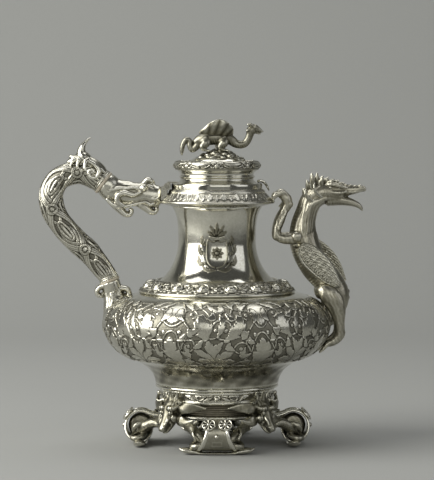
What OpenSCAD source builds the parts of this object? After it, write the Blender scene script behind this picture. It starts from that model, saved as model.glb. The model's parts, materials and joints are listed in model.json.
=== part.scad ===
// Silver coffee pot in the rococo taste: bellied vessel on four scroll feet, spout cast as a
// dragon, wrapped scroll handle with ivory insulators and a hinged lid with a dragon finial.
// Origin: on the vessel's axis, at table level. +X runs to the spout, +Z up, -Y is the shield's side.

/* [Base] */
// Height of the base plate's underside above the table
base_z = 24; // [22:0.5:28]
// Radius of the base plate that the feet hang from
base_r = 47; // [44:0.5:50]
// Thickness of the base plate
base_t = 3; // [2:0.5:4]
// Radius over the reeded band
reed_r = 41; // [38:0.5:43]
// Height of the reeded band
reed_h = 9; // [7:0.5:12]
// Number of reeds in the band
reeds = 5; // [3:1:7]
// Radius of the cast drum above the reeds
drum_r = 46; // [44:0.5:48]
// Height of the cast drum
drum_h = 10; // [8:0.5:13]
// Radius of the ring moulding under the bowl
ring_r = 49.3; // [47:0.1:53]
// Height of the ring moulding
ring_h = 3; // [2:0.5:5]

/* [Vessel] */
// Thickness of the raised silver sheet
wall = 1.1; // [0.9:0.1:1.6]
// Radius of the bowl where it stands on the ring
waist_r = 49.2; // [47:0.1:52]
// Radius of the belly at its widest
belly_r = 91; // [86:0.5:96]
// Height from the ring up to the widest point of the belly
bowl_h = 49; // [44:1:56]
// Height from the widest point up to the edge of the cast border
cover_h = 23.5; // [20:0.5:28]
// Radius of the outer edge of the cast border
border_r = 62; // [58:0.5:68]
// Rise of the shoulder under the cast border
shoulder_h = 9; // [7:0.5:12]
// Radius at the foot of the neck
neck_foot_r = 47; // [43:0.5:50]
// Radius of the neck at its narrowest
neck_r = 31.2; // [28:0.2:33]
// Height of the neck
neck_h = 60; // [52:1:70]
// Radius of the neck's top edge
neck_top_r = 36.5; // [35:0.5:39]

/* [Rim] */
// Radius over the lip of the rim
rim_r = 46.4; // [44:0.2:50]
// Radius of the flat top of the rim
rim_top_r = 38; // [37:0.2:40]
// Height of the rim collar
rim_h = 13.5; // [12:0.5:16]
// Radius of the mouth
mouth_r = 33.6; // [31:0.2:34]

/* [Lid] */
// Radius of the lid's flange
flange_r = 36.5; // [35.6:0.1:37]
// Height of the flange
flange_h = 5; // [4:0.2:6]
// Radius of the waist between flange and border
lid_waist_r = 29.4; // [27:0.2:31]
// Height of the waist
lid_waist_h = 10.6; // [8:0.2:13]
// Radius over the lid's cast border
lid_border_r = 35.2; // [34:0.2:37]
// Height of the lid's cast border
lid_border_h = 7.8; // [6:0.2:9]
// Radius of the flat crown that carries the finial
crown_r = 16; // [15:0.5:18]
// Rise of the crown above the border's seat
crown_h = 9.9; // [8.5:0.1:12]
// Depth of the bezel that enters the mouth
bezel_h = 4; // [2:0.5:4.5]
// Gap between bezel and mouth
bezel_gap = 0.5; // [0.4:0.1:0.8]

/* [Hinge] */
// Distance from the axis to the hinge pin
pin_x = 39.8; // [39.8:0.1:41]
// Height of the pin above the rim's top
pin_rise = 2.4; // [2.2:0.1:2.8]
// Radius of the hinge pin
pin_r = 1.2; // [1:0.05:1.4]
// Radius of a knuckle
knuckle_r = 2.9; // [2.6:0.1:3]
// Length of the lid's middle knuckle
knuckle_w = 11; // [8:0.5:13]
// Length of each knuckle on the pot
outer_knuckle_w = 5; // [4:0.5:6]
// Gap between neighbouring knuckles
knuckle_gap = 0.2; // [0.15:0.05:0.4]
// Running clearance around the pin, on radius
pin_clearance = 0.05; // [0.02:0.01:0.1]

/* [Feet] */
// Distance from the axis to the outside of a foot
foot_reach = 74; // [72:0.5:78]
// Outer diameter of a foot's rolled scroll
roll_d = 25.6; // [24:0.2:26]
// Thickness of the strap that is rolled
strap_t = 1.8; // [1.4:0.1:2.4]
// Width of the strap at the top
strap_top_w = 16; // [14:0.5:18]
// Width of the strap at the bottom
strap_low_w = 31; // [26:0.5:33]
// Thickness of the pad under each foot
pad_t = 2.4; // [1.8:0.1:3]
// Width of the pad across the foot, over its turned-up ends
pad_w = 57; // [50:1:60]
// Depth of the pad
pad_d = 11; // [8:0.5:13]
// Radius of the bead on each strap
bead_r = 2; // [1.6:0.1:2.4]
// Radius of a rayed boss beside each strap
boss_r = 5.4; // [4.8:0.1:5.8]

/* [Handle] */
// Thickness of the grip in its middle
grip_d = 19; // [17:0.5:21]
// Distance that the grip stands out behind its ends
handle_reach = 43.4; // [38:0.5:50]
// Distance from the axis to the grip's upper end
handle_top_x = 90; // [88:0.5:94]
// Height of the grip's upper end above the rim's lip
handle_top_rise = 15; // [13:0.5:17]
// Distance that the grip's lower end lies inside the belly's widest radius
handle_low_inset = 5.4; // [4:0.2:7]
// Height of the grip's lower end above the widest point of the belly
handle_low_rise = 31.6; // [30:0.2:35]
// Diameter of the upper insulator
top_disc_d = 20.5; // [19.5:0.1:21.5]
// Diameter of the lower insulator
low_disc_d = 16.4; // [15.6:0.1:17.4]
// Thickness of an insulator
disc_t = 2.2; // [1.6:0.1:3]
// Distance along the grip from one crossing of its bands to the next
band_pitch = 42; // [34:1:50]
// Width of a band
band_w = 4; // [3:0.2:5]
// Height of a band over the grip
band_rise = 1.2; // [0.8:0.1:1.5]
// Thickness of a ferrule
ferrule_t = 3; // [2.4:0.1:4]
// Radius of the pins that hold the grip
rivet_r = 1.1; // [0.8:0.1:1.3]

/* [Spout] */
// Radius of the hole through the belly into the spout
spout_hole_r = 6; // [5:0.1:6.5]
// Height of that hole above the widest point of the belly
spout_hole_rise = 6; // [4:0.5:7]
// Radius of the pouring channel in the dragon's body
channel_r = 4.8; // [4:0.1:5.4]
// Thickness of a wing
wing_t = 1.8; // [1.5:0.1:2.6]
// Radius of a hole in the strainer
strainer_hole_r = 0.8; // [0.6:0.1:1]

/* [Ornament] */
// Height of the chased leaves on the belly
chased_h = 0.5; // [0.3:0.05:0.6]
// Cabochons round the shoulder border
border_stones = 12; // [8:1:14]
// Cabochons round the lid border
lid_stones = 10; // [6:1:12]
// Thickness of the shield on the neck
shield_t = 1.4; // [1:0.1:2]
// Width of the shield
shield_w = 26; // [22:0.5:28]
// Height of the shield
shield_h = 29; // [26:0.5:31]
// Height of the shell crest over the shield
crest_h = 10; // [8:0.5:12]

/* [Hidden] */

$fn = 48;
seat = 0.12;         // gap left where a casting is fitted to a curved wall
z_reed = base_z + base_t;
z_drum = z_reed + reed_h;
z_ring = z_drum + drum_h;
z_bowl = z_ring + ring_h;
z_belly = z_bowl + bowl_h;
z_border = z_belly + cover_h;
z_neck = z_border + shoulder_h;
z_rim = z_neck + neck_h;
z_lip = z_rim + 3;
z_mouth = z_rim + rim_h;
z_flange = z_mouth + flange_h;
z_lid_border = z_flange + lid_waist_h;
z_crown = z_lid_border + crown_h;
z_pin = z_mouth + pin_rise;

// ---- Curves ------------------------------------------------------------------------------

function bezier(a, b, c, d, steps) = [for (i = [0:steps]) let(t = i / steps, s = 1 - t)
    s * s * s * a + 3 * s * s * t * b + 3 * s * t * t * c + t * t * t * d];

function tail(p) = [for (i = [1:len(p) - 1]) p[i]];

function unit(v) = v / norm(v);

function spline(p, i, t) = let(
        n = len(p) - 1, a = p[max(i - 1, 0)], b = p[i], c = p[min(i + 1, n)], d = p[min(i + 2, n)])
    (2 * b + (c - a) * t + (2 * a - 5 * b + 4 * c - d) * t * t
        + (3 * b - a - 3 * c + d) * t * t * t) / 2;

function smooth(p, steps) = [
    for (i = [0:len(p) - 2]) for (s = [0:steps - 1]) spline(p, i, s / steps), p[len(p) - 1]];

function along(p, i) = unit(p[min(i + 1, len(p) - 1)] - p[max(i - 1, 0)]);

// A line moved sideways by d: to the left of its direction where d is positive
function beside(p, d) = [for (i = [0:len(p) - 1]) let(v = along(p, i)) p[i] + d * [-v[1], v[0]]];

// Length of a line up to each of its points
function lengths(p) = [for (i = 0, s = 0; i < len(p); i = i + 1,
    s = i < len(p) ? s + norm(p[i] - p[i - 1]) : s) s];

function backwards(p) = [for (i = [len(p) - 1:-1:0]) p[i]];

// The outline of a strip of even thickness along a line
function strip(p, t) = concat(beside(p, t / 2), backwards(beside(p, -t / 2)));

// A curl: points on a spiral round c, from radius r0 to r1 and from angle a0 to a1
function curl(c, r0, r1, a0, a1, steps) = [for (i = [0:steps]) let(
        t = i / steps, r = r0 + (r1 - r0) * t, a = a0 + (a1 - a0) * t)
    c + r * [cos(a), sin(a)]];

// ---- Solids --------------------------------------------------------------------------------

// Fuses its children into one casting
module casting() {
    resize([0, 0, 0]) union() children();
}

// A tapering limb. Each row is [x, y, z, half depth, half width]; side is the way of the width,
// for the whole limb or, with one step, for each row
module limb(rows, steps = 3, sides = 10, side = [0, 1, 0], grow = 0) {
    q = smooth(rows, steps);
    n = len(q);
    spine = [for (r = q) [r[0], r[1], r[2]]];
    rings = [for (i = [0:n - 1]) let(
            way = along(spine, i), s = is_list(side[0]) ? side[i] : side,
            across = unit(s - (s * way) * way), out = cross(way, across))
        for (j = [0:sides - 1]) let(a = 360 * (j + 0.5) / sides)
            spine[i] + (q[i][3] + grow) * cos(a) * out + (q[i][4] + grow) * sin(a) * across];
    walls = [for (i = [0:n - 2]) for (j = [0:sides - 1]) let(
            k = (j + 1) % sides, a = i * sides, b = a + sides)
        each [[a + j, a + k, b + k], [a + j, b + k, b + j]]];
    ends = [[for (j = [sides - 1:-1:0]) j], [for (j = [0:sides - 1]) (n - 1) * sides + j]];
    polyhedron(rings, concat(ends, walls));
}

module both_sides() {
    children();
    mirror([0, 1, 0]) children();
}

module around(count, start = 0) {
    for (i = [0:count - 1]) rotate(start + 360 * i / count) children();
}

// Moves a child that points up to p and turns it in the XZ plane to point along way
module towards(p, way) {
    translate([p[0], 0, p[1]]) rotate([0, atan2(way[0], way[1]), 0]) children();
}

// ---- Vessel --------------------------------------------------------------------------------

bowl_line = concat(
    bezier([waist_r, z_bowl], [waist_r + 1, z_bowl + 0.23 * bowl_h],
        [waist_r + 11, z_bowl + 0.36 * bowl_h], [0.8 * belly_r, z_bowl + 0.44 * bowl_h], 4),
    tail(bezier([0.8 * belly_r, z_bowl + 0.44 * bowl_h], [0.91 * belly_r, z_bowl + 0.53 * bowl_h],
        [belly_r, z_belly - 0.26 * bowl_h], [belly_r, z_belly], 5)));
cover_line = bezier([belly_r, z_belly], [belly_r, z_belly + 0.55 * cover_h],
    [belly_r - 12, z_border - 0.14 * cover_h], [border_r, z_border], 5);
shoulder_line = bezier([border_r, z_border], [border_r - 5, z_border + 1.5],
    [neck_foot_r + 4, z_neck - 3], [neck_foot_r, z_neck], 5);
neck_line = concat(
    bezier([neck_foot_r, z_neck], [neck_foot_r - 6, z_neck + 0.06 * neck_h],
        [neck_r, z_neck + 0.26 * neck_h], [neck_r, z_neck + 0.54 * neck_h], 9),
    tail(bezier([neck_r, z_neck + 0.54 * neck_h], [neck_r, z_rim - 0.24 * neck_h],
        [neck_r + 0.5, z_rim - 0.11 * neck_h], [neck_top_r, z_rim], 6)));
belly_line = concat(bowl_line, tail(cover_line), tail(shoulder_line));
rim_line = [
    [neck_top_r, z_rim], [neck_top_r + 3, z_rim + 1.2], [rim_r - 0.6, z_lip - 0.5], [rim_r, z_lip],
    [rim_r, z_lip + 1], [rim_r - 1, z_lip + 1.6], [rim_top_r + 0.8, z_mouth - 2.4],
    [rim_top_r + 0.8, z_mouth - 1.4], [rim_top_r, z_mouth - 0.8], [rim_top_r, z_mouth]
];

function level_ends(p, z0, z1) = [for (i = [0:len(p) - 1])
    [p[i][0], i == 0 ? z0 : i == len(p) - 1 ? z1 : p[i][1]]];

// The space that the vessel's outside fills, grown by gap, for fitting castings to it
module vessel_space(gap) {
    p = beside(concat(belly_line, tail(neck_line), tail(rim_line)), -gap);
    rotate_extrude($fn = 72)
        polygon(concat([[0, z_bowl]], level_ends(p, z_bowl, z_mouth + 1), [[0, z_mouth + 1]]));
}

// The band of chased leaves: lengths along the belly's outside where it starts and ends
outside_line = concat(bowl_line, tail(cover_line));
outside_s = lengths(outside_line);
length_at = [for (i = [0:len(outside_s) - 1]) [outside_line[i][1], outside_s[i]]];
band_low = lookup(z_bowl + 0.41 * bowl_h, length_at);
band_high = lookup(z_border - 0.12 * cover_h, length_at);
chased_repeats = 8;
// Leaves as ovals: place and half size across half a repeat, place and half size up the band
tall_leaves = [[1, 0.25, 0.27, 0.21], [1, 0.8, 0.2, 0.17]];
palmette_leaves = [[0, 0.26, 0.24, 0.2], [0.34, 0.62, 0.2, 0.15]];

// Height of the flat-topped leaves at an angle about the axis and a share of the way up the band
function chasing(angle, up) = let(
    turns = (angle + 90) * chased_repeats / 180 + 100, across = 1 - abs(turns % 2 - 1),
    // the spout and the handle stand where two of the palmettes would be
    leaves = abs(cos(angle)) > cos(270 / chased_repeats) && across < 0.6 ? []
        : concat(tall_leaves, palmette_leaves))
    chased_h * max([0, for (l = leaves)
        let(x = (across - l[0]) / l[2], y = (up - l[1]) / l[3], d = x * x + y * y)
        min(1, 1.6 * (1 - d))]);

// A wall turned about the axis between two lines, chased outside; with floor it is closed below
module chased_wall(outside, inside, floor) {
    columns = 14 * chased_repeats;
    way = [for (i = [0:len(outside) - 1]) along(outside, i)];
    rows = concat(
        [for (i = [0:len(outside) - 1])
            let(p = outside[i], up = (lookup(p[1], length_at) - band_low) / (band_high - band_low))
            [for (j = [0:columns - 1])
                let(a = 360 * j / columns, h = p[1] < z_border - 0.1 ? chasing(a, up) : 0)
                [(p[0] + h * way[i][1]) * cos(a), (p[0] + h * way[i][1]) * sin(a), p[1] - h * way[i][0]]]],
        [for (p = backwards(inside)) [for (j = [0:columns - 1])
            let(a = 360 * j / columns) [p[0] * cos(a), p[0] * sin(a), p[1]]]]);
    last = len(rows) - 1;
    walls = [for (i = [0:floor ? last - 1 : last]) for (j = [0:columns - 1]) let(
            k = (j + 1) % columns, a = i * columns, b = (i == last ? 0 : i + 1) * columns)
        each [[a + j, b + j, b + k], [a + j, b + k, a + k]]];
    caps = floor ? [[for (j = [0:columns - 1]) j], [for (j = [columns - 1:-1:0]) last * columns + j]] : [];
    polyhedron([for (r = rows) each r], concat(walls, caps));
}

inside_line = beside(belly_line, wall);
belly_inside = level_ends([for (i = [0:2:len(inside_line) - 1]) inside_line[i]], z_bowl + wall, z_neck);

// The seam of the two raised halves, one step of the bowl's line under the widest point
seam = bowl_line[len(bowl_line) - 2];

module belly_shell() {
    inside = concat([for (p = belly_inside) if (p[1] < seam[1] - 1) p], [seam - [wall, 0]]);
    color("gainsboro") chased_wall([for (p = bowl_line) if (p[1] < z_belly) p], inside, true);
}

cover_inside = concat([seam - [wall, 0]], [for (p = belly_inside) if (p[1] > seam[1] + 1) p]);

module belly_cover() {
    color("gainsboro") casting() difference() {
        chased_wall(concat([seam], cover_line, tail(shoulder_line)), cover_inside, false);
        translate([belly_r / 2, 0, z_belly + spout_hole_rise]) rotate([0, 90, 0])
            cylinder(h = belly_r, r = spout_hole_r);
    }
}

module neck() {
    inside = level_ends(beside(neck_line, wall), z_neck, z_rim);
    color("whitesmoke") rotate_extrude($fn = 96) polygon(concat(neck_line, backwards(inside)));
}

module rim_collar() {
    inside = [
        [mouth_r, z_mouth], [mouth_r, z_mouth - wall], [rim_top_r - wall, z_mouth - 2.4],
        [rim_r - 2 * wall, z_lip + 1], [rim_r - 2 * wall, z_lip], [neck_top_r - wall, z_rim + 0.8],
        [neck_top_r - wall, z_rim]
    ];
    color("silver") rotate_extrude($fn = 96) polygon(concat(rim_line, inside));
}

module shield_outline() {
    w = shield_w / 2;
    h = shield_h / 2;
    edge = smooth([[0, -h], [0.5 * w, -0.86 * h], [0.78 * w, -0.62 * h], [0.94 * w, -0.3 * h],
        [0.8 * w, 0], [w, 0.3 * h], [0.84 * w, 0.62 * h], [w, 0.92 * h], [0.55 * w, 0.84 * h], [0, h]], 3);
    polygon(concat(edge, [for (p = backwards(edge)) if (p[0] > 0.01) [-p[0], p[1]]]));
}

// What lies between the neck and a skin t above it
module neck_skin(t) {
    line = [for (p = neck_line) if (p[1] < z_rim - 2) p];
    rotate_extrude($fn = 96) polygon(concat(beside(line, -t - seat), backwards(beside(line, -seat))));
}

z_shield = z_neck + 0.41 * neck_h;

module shield() {
    color("silver") intersection() {
        neck_skin(shield_t);
        translate([0, 0, z_shield]) rotate([90, 0, 0]) linear_extrude(neck_foot_r) shield_outline();
    }
}

module shield_crest() {
    fan = [for (i = [0:6]) each let(a = 20 + 140 * i / 6) [
        (crest_h - 1.6) * [1.25 * cos(a - 9), sin(a - 9)], crest_h * [1.25 * cos(a), sin(a)],
        (crest_h - 1.6) * [1.25 * cos(a + 9), sin(a + 9)]]];
    color("silver") intersection() {
        neck_skin(shield_t);
        translate([0, 0, z_shield + shield_h / 2 + 0.3]) rotate([90, 0, 0])
            linear_extrude(neck_foot_r) polygon(concat([[-6, 0], [6, 0]], fan));
    }
}

// ---- Borders -------------------------------------------------------------------------------

// A domed cabochon in a collar, standing on the origin's plane and rooted below it
module stone(r) {
    dome = curl([0, -0.4 * r], 1.3 * r, 1.3 * r, 90, 30, 6);
    rotate_extrude($fn = 32) polygon(concat([[0, -0.4 * r]], dome,
        [[1.2 * r, 0.6 * r], [1.5 * r, 0.5 * r], [1.6 * r, 0], [1.5 * r, -0.4 * r]]));
}

// A shell of three lobes between two cabochons
module shell(r) {
    for (a = [-50, 0, 50]) translate([0.7 * r * cos(a), 1.1 * r * sin(a), 0]) sphere(r, $fn = 32);
}

border_mid_r = (border_r + neck_foot_r) / 2;
border_tilt = atan2(shoulder_h, border_r - neck_foot_r);

module shoulder_border() {
    under = beside(shoulder_line, -0.05);
    crest_line = bezier([border_r - 0.6, z_border + 1.2], [border_r - 2, z_border + 4.2],
        [neck_foot_r + 4, z_neck + 2.4], [neck_foot_r + 0.9, z_neck + 0.9], 5);
    step = 360 / border_stones;
    color("lightgray") {
        rotate_extrude($fn = 96) polygon(concat(under, backwards(crest_line)));
        around(border_stones) translate([border_mid_r, 0, (z_border + z_neck) / 2 + 2.6])
            rotate([0, border_tilt, 0]) stone(2.7);
        around(border_stones, step / 2) translate([border_mid_r, 0, (z_border + z_neck) / 2 + 3.4])
            rotate([0, border_tilt, 0]) shell(2.9);
    }
}

// ---- Base ----------------------------------------------------------------------------------

module base_plate() {
    color("silver") rotate_extrude($fn = 96)
        polygon([[30, base_z], [base_r - 1, base_z], [base_r, base_z + 1], [base_r, z_reed - 1],
            [base_r - 1, z_reed], [30, z_reed]]);
}

module reeded_band() {
    pitch = reed_h / reeds;
    outside = [for (i = [0:reeds - 1]) each [
        [reed_r - 0.7, z_reed + i * pitch], [reed_r, z_reed + (i + 0.3) * pitch],
        [reed_r, z_reed + (i + 0.7) * pitch]]];
    color("dimgray") rotate_extrude($fn = 96) polygon(concat(
        [[reed_r - 0.7 - 2 * wall, z_reed]], outside, [[reed_r - 0.7, z_drum]],
        [[reed_r - 0.7 - 2 * wall, z_drum]]));
}

module base_drum() {
    flute = 0.9;
    color("lightgray") {
        rotate_extrude($fn = 96) polygon([
            [reed_r - 4, z_drum], [drum_r - flute, z_drum], [drum_r, z_drum + 1], [drum_r, z_drum + 2],
            [drum_r - flute, z_drum + 2.6], [drum_r - flute, z_ring - 2.6], [drum_r, z_ring - 2],
            [drum_r, z_ring], [drum_r - 2 * wall, z_ring], [drum_r - 2 * wall, z_drum + wall],
            [reed_r - 4, z_drum + wall]]);
        for (start = [16, 30, 60, 74]) around(4, start) translate([drum_r - 1.6, 0, (z_drum + z_ring) / 2])
            rotate([0, 90, 0]) cylinder(h = 1.8, r = 1.7);
    }
}

module drum_studs() {
    color("silver") around(4) translate([drum_r - 0.8, 0, (z_drum + z_ring) / 2]) rotate([0, 90, 0]) {
        cylinder(h = 0.8 + seat, r = 1.2);
        translate([0, 0, 0.8 + seat]) difference() {
            sphere(bead_r);
            translate([0, 0, -2 * bead_r]) cube(4 * bead_r, center = true);
        }
    }
}

module foot_ring() {
    color("whitesmoke") rotate_extrude($fn = 96) polygon(concat(
        [[drum_r - 3, z_ring]],
        curl([ring_r - ring_h / 2, z_ring + ring_h / 2], ring_h / 2, ring_h / 2, -90, 90, 8),
        [[drum_r - 3, z_bowl]]));
}

// ---- Feet ----------------------------------------------------------------------------------

roll_r = roll_d / 2;
roll_c = [foot_reach - roll_r, pad_t + roll_r];
strap_line = concat(
    smooth([[base_r - 9, base_z - strap_t / 2], [base_r, base_z - strap_t / 2],
        roll_c + (roll_r - strap_t / 2) * [cos(125), sin(125)]], 3),
    tail(curl(roll_c, roll_r - strap_t / 2, roll_r - strap_t / 2, 120, -95, 18)),
    tail(curl(roll_c, roll_r - strap_t / 2, roll_r - 5, -95, -205, 8)));

module foot() {
    // The radius that narrows the strap from its bottom width to its top width
    drop = roll_d - 2;
    inset = (strap_low_w - strap_top_w) / 2;
    cut_r = (drop * drop + inset * inset) / (2 * inset);
    color("silver") difference() {
        translate([0, strap_low_w / 2, 0]) rotate([90, 0, 0]) linear_extrude(strap_low_w)
            polygon(strip(strap_line, strap_t));
        both_sides() translate([base_r - 20, strap_top_w / 2 + cut_r, pad_t + roll_d])
            rotate([0, 90, 0]) cylinder(h = foot_reach, r = cut_r, $fn = 96);
        // seats of the bead and of the bosses
        translate([foot_reach - strap_t - 1, 0, roll_c[1]]) rotate([0, 90, 0]) cylinder(h = 5, r = 1.2);
    }
}

module foot_pads() {
    lip = smooth([[-pad_w / 2, 6.4], [-pad_w / 2 + 3, 2.6], [-pad_w / 2 + 9, 0.9], [0, 0.9]], 4);
    top = concat(lip, [for (p = backwards(lip)) if (p[0] < -0.01) [-p[0], p[1]]]);
    color("silver") around(4) intersection() {
        translate([roll_c[0] - pad_d / 2, 0, 0]) rotate([90, 0, 90]) linear_extrude(pad_d)
            polygon(concat([[-pad_w / 2 - 1.5, 6.4], [-pad_w / 2 + 1.5, 1.6], [-pad_w / 2 + 7, 0],
                [pad_w / 2 - 7, 0], [pad_w / 2 - 1.5, 1.6], [pad_w / 2 + 1.5, 6.4]],
                [for (p = backwards(top)) [p[0], p[1] + 1]]));
        // the top is hollowed to the round of the strap that stands on it
        difference() {
            translate([roll_c[0] - pad_d, -pad_w, 0]) cube([2 * pad_d, 2 * pad_w, 10]);
            translate([roll_c[0], -strap_low_w, roll_c[1]]) rotate([-90, 0, 0])
                cylinder(h = 2 * strap_low_w, r = roll_r + 0.05, $fn = 96);
        }
    }
}

module foot_beads() {
    color("silver") around(4) translate([foot_reach - strap_t, 0, roll_c[1]]) rotate([0, 90, 0]) {
        cylinder(h = strap_t + 0.2, r = 1.1);
        translate([0, 0, strap_t + 0.1]) difference() {
            sphere(bead_r);
            translate([0, 0, -2 * bead_r]) cube(4 * bead_r, center = true);
        }
    }
}

// A rayed boss: a disc with a rim and radial ribs, standing on its flat back
module boss() {
    difference() {
        cylinder(h = 1.6, r = boss_r);
        translate([0, 0, 0.8]) cylinder(h = 2, r = boss_r - 0.7);
    }
    cylinder(h = 2.2, r = 1.2);
    for (i = [0:4]) rotate(72 * i) translate([0, -0.35, 0]) cube([boss_r - 0.3, 0.7, 1.5]);
}

module foot_bosses() {
    color("silver") around(4) both_sides() translate([roll_c[0], strap_top_w / 2, roll_c[1]])
        rotate([0, 48, 0]) translate([0, 0, roll_r + seat]) boss();
}

// A serpent's body woven through the roll of a foot, from one mask to the next
module serpent() {
    low = roll_c[1] - roll_r + strap_t;
    half = [[base_r - 1, 24, 18.4, 2.6, 2.6], [base_r + 4, 20, 19, 3.8, 3.8],
        [roll_c[0] - 3, 15.6, low + 11, 4, 4], [roll_c[0] + 1, 9, low + 5.6, 3.8, 3.8],
        [roll_c[0] + 1, 0, low + 3.6, 3.2, 3.2]];
    whole = concat(half, [for (i = [3:-1:0]) [half[i][0], -half[i][1], half[i][2], half[i][3],
        half[i][4]]]);
    color("gray") limb(whole, 2, 8, [1, 0, 0]);
}

// ---- Masks ---------------------------------------------------------------------------------

// What lies outside the base, so that a casting can be fitted to its plate, reeds and drum
module base_space() {
    rotate_extrude($fn = 64) polygon([
        [0, base_z - seat], [base_r + seat, base_z - seat], [base_r + seat, z_reed + seat],
        [reed_r + seat, z_reed + seat], [reed_r + seat, z_drum - seat], [drum_r + 1, z_drum - seat],
        [drum_r + 1, z_ring - 0.5], [ring_r + 2, z_ring - 0.5], [ring_r + 2, z_bowl + 5], [0, z_bowl + 5]]);
}

// A horned beast's head that looks down and outwards
module mask() {
    color("silver") casting() difference() {
        union() {
            limb([[base_r - 4, 0, z_drum + 3, 5, 6], [base_r + 1, 0, z_drum - 1, 7, 9],
                [base_r + 5, 0, z_drum - 7, 7, 8.6], [base_r + 9.4, 0, z_drum - 13, 4.6, 5.4],
                [base_r + 14, 0, z_drum - 18.4, 2.8, 3.6]], 2, 8);
            // lower jaw and brow tuft
            limb([[base_r + 1, 0, z_drum - 12, 3, 5], [base_r + 6, 0, z_drum - 18, 2.2, 4],
                [base_r + 9.6, 0, z_drum - 21.4, 1.2, 2.4]], 1, 6);
            limb([[base_r + 6, 0, z_drum + 1, 1.6, 5], [base_r + 4.6, 0, z_drum + 6, 1.4, 4.4],
                [base_r + 6.6, 0, z_drum + 11, 0.6, 1]], 1, 6);
            both_sides() {
                translate([base_r + 8.4, 4.2, z_drum - 3.4]) sphere(2.6, $fn = 6);
                // ear, and the fin that leads to the serpent
                limb([[base_r + 1, 7, z_drum + 1, 2, 2], [base_r + 2.4, 13, z_drum + 3, 3.4, 1.3],
                    [base_r + 1.6, 18, z_drum + 2.4, 2.4, 0.9], [base_r + 1, 22, z_drum + 3.6, 0.5, 0.5]],
                    1, 6, [1, 0, 0]);
                limb([[base_r, 5, z_drum - 8, 2.6, 2], [base_r + 2.2, 11, z_drum - 11, 3.6, 1.4],
                    [base_r + 2, 15.4, z_drum - 13.4, 2.8, 1], [base_r + 2.6, 19, z_drum - 11.6, 0.6, 0.6]],
                    1, 6, [1, 0, 0]);
            }
        }
        base_space();
    }
}

// ---- Spout ---------------------------------------------------------------------------------

// Rows of the spout: out from the belly, sideways, and up in hundredths of the way to the rim
function on_spout(rows) = [for (r = rows)
    [belly_r + r[0], r[1], z_belly + r[2] * (z_lip - z_belly) / 100, r[3], r[4]]];

trunk_rows = on_spout([
    [-6, 0, 3, 9, 9.5], [-1, 0, 7.5, 9.6, 10], [3, 0, 15, 10.6, 10.4], [4, 0, 24, 10.8, 10.6],
    [-2.2, 0, 34.4, 11.4, 11], [-11.2, 0, 45, 11.8, 11.6], [-18, 0, 57, 11.8, 11.8],
    [-21.5, 0, 69.5, 11.6, 11.2], [-21.8, 0, 81, 10, 9.4], [-19.2, 0, 92, 8.6, 8.4],
    [-15, 0, 102, 8.8, 8.4], [-7, 0, 107.6, 8.8, 8.4], [2, 0, 107.6, 7.6, 7.2], [9, 0, 106.6, 5.4, 5.8]]);
channel_rows = on_spout([
    [-16, 0, 6, 5.6, 5.6], [-8, 0, 6.2, 5.6, 5.6], [-1, 0, 8.4, 5.6, 5.6], [3.6, 0, 16, 5.2, 5.2],
    [3.6, 0, 25, 5, 5], [-2.4, 0, 34.6, 4.8, 4.8], [-11.4, 0, 45.4, 4.8, 4.8], [-18.4, 0, 57.4, 4.8, 4.8],
    [-21.6, 0, 69.8, 4.6, 4.6], [-21.4, 0, 81.6, 4.4, 4.4], [-18.6, 0, 93, 4.2, 4.2],
    [-13.6, 0, 101.4, 4, 4], [-5.4, 0, 104.6, 3.6, 3.6], [5, 0, 104.6, 3.4, 3.4],
    [14, 0, 103.4, 3.2, 3.2], [24, 0, 103.6, 3, 3]]);

module trunk(grow = 0) {
    limb(trunk_rows, 2, 12, grow = grow);
}

// Upper beak, lower jaw, brows and nostrils
module beaks(grow = 0) {
    limb(on_spout([[-2, 0, 109, 6.4, 6.6], [8, 0, 109.4, 4.6, 5.2], [17, 0, 109.6, 3, 4],
        [24, 0, 110.8, 2, 2.8], [28.8, 0, 110.4, 1.3, 1.8]]), 2, 8, grow = grow);
    limb(on_spout([[-1, 0, 103, 4.6, 6], [9, 0, 101.8, 3, 4.8], [17, 0, 99.6, 2.2, 3.6],
        [23.4, 0, 96.4, 1.5, 2.4], [25.8, 0, 93, 0.6, 0.9]]), 2, 8, grow = grow);
    both_sides() {
        translate([belly_r + 3, 4.6, z_lip + 12.4]) sphere(2.6 + grow, $fn = 8);
        translate([belly_r + 26.4, 1.5, z_lip + 12]) sphere(1.5 + grow, $fn = 6);
    }
}

module spout_dragon() {
    color("lightgray") casting() difference() {
        union() {
            trunk();
            beaks();
        }
        limb([for (r = channel_rows) [r[0], r[1], r[2], r[3] * channel_r / 4.8, r[4] * channel_r / 4.8]],
            2, 8);
        vessel_space(seat);
    }
}

module dragon_mane() {
    // along the head, up, sweep and rise of each pair of locks
    locks = [[-19, 101, -3, 12], [-14, 107, -1, 19], [-8, 110, 2, 13], [-2, 112, 5, 8], [4, 112, 7, 5]];
    color("darkgray") casting() difference() {
        union() {
            for (l = locks, s = [-1, 1]) limb(on_spout([[l[0], s * 1.6, l[1] - 3, 2.6, 2.4],
                [l[0] + 0.2 * l[2], s * 3, l[1] + 0.35 * l[3], 2.8, 1.8],
                [l[0] + 0.6 * l[2], s * 4.4, l[1] + 0.75 * l[3], 2, 1.3],
                [l[0] + l[2], s * 4.6, l[1] + l[3], 0.6, 0.5]]), 1, 6);
        }
        trunk(seat);
        beaks(seat);
    }
}

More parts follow.
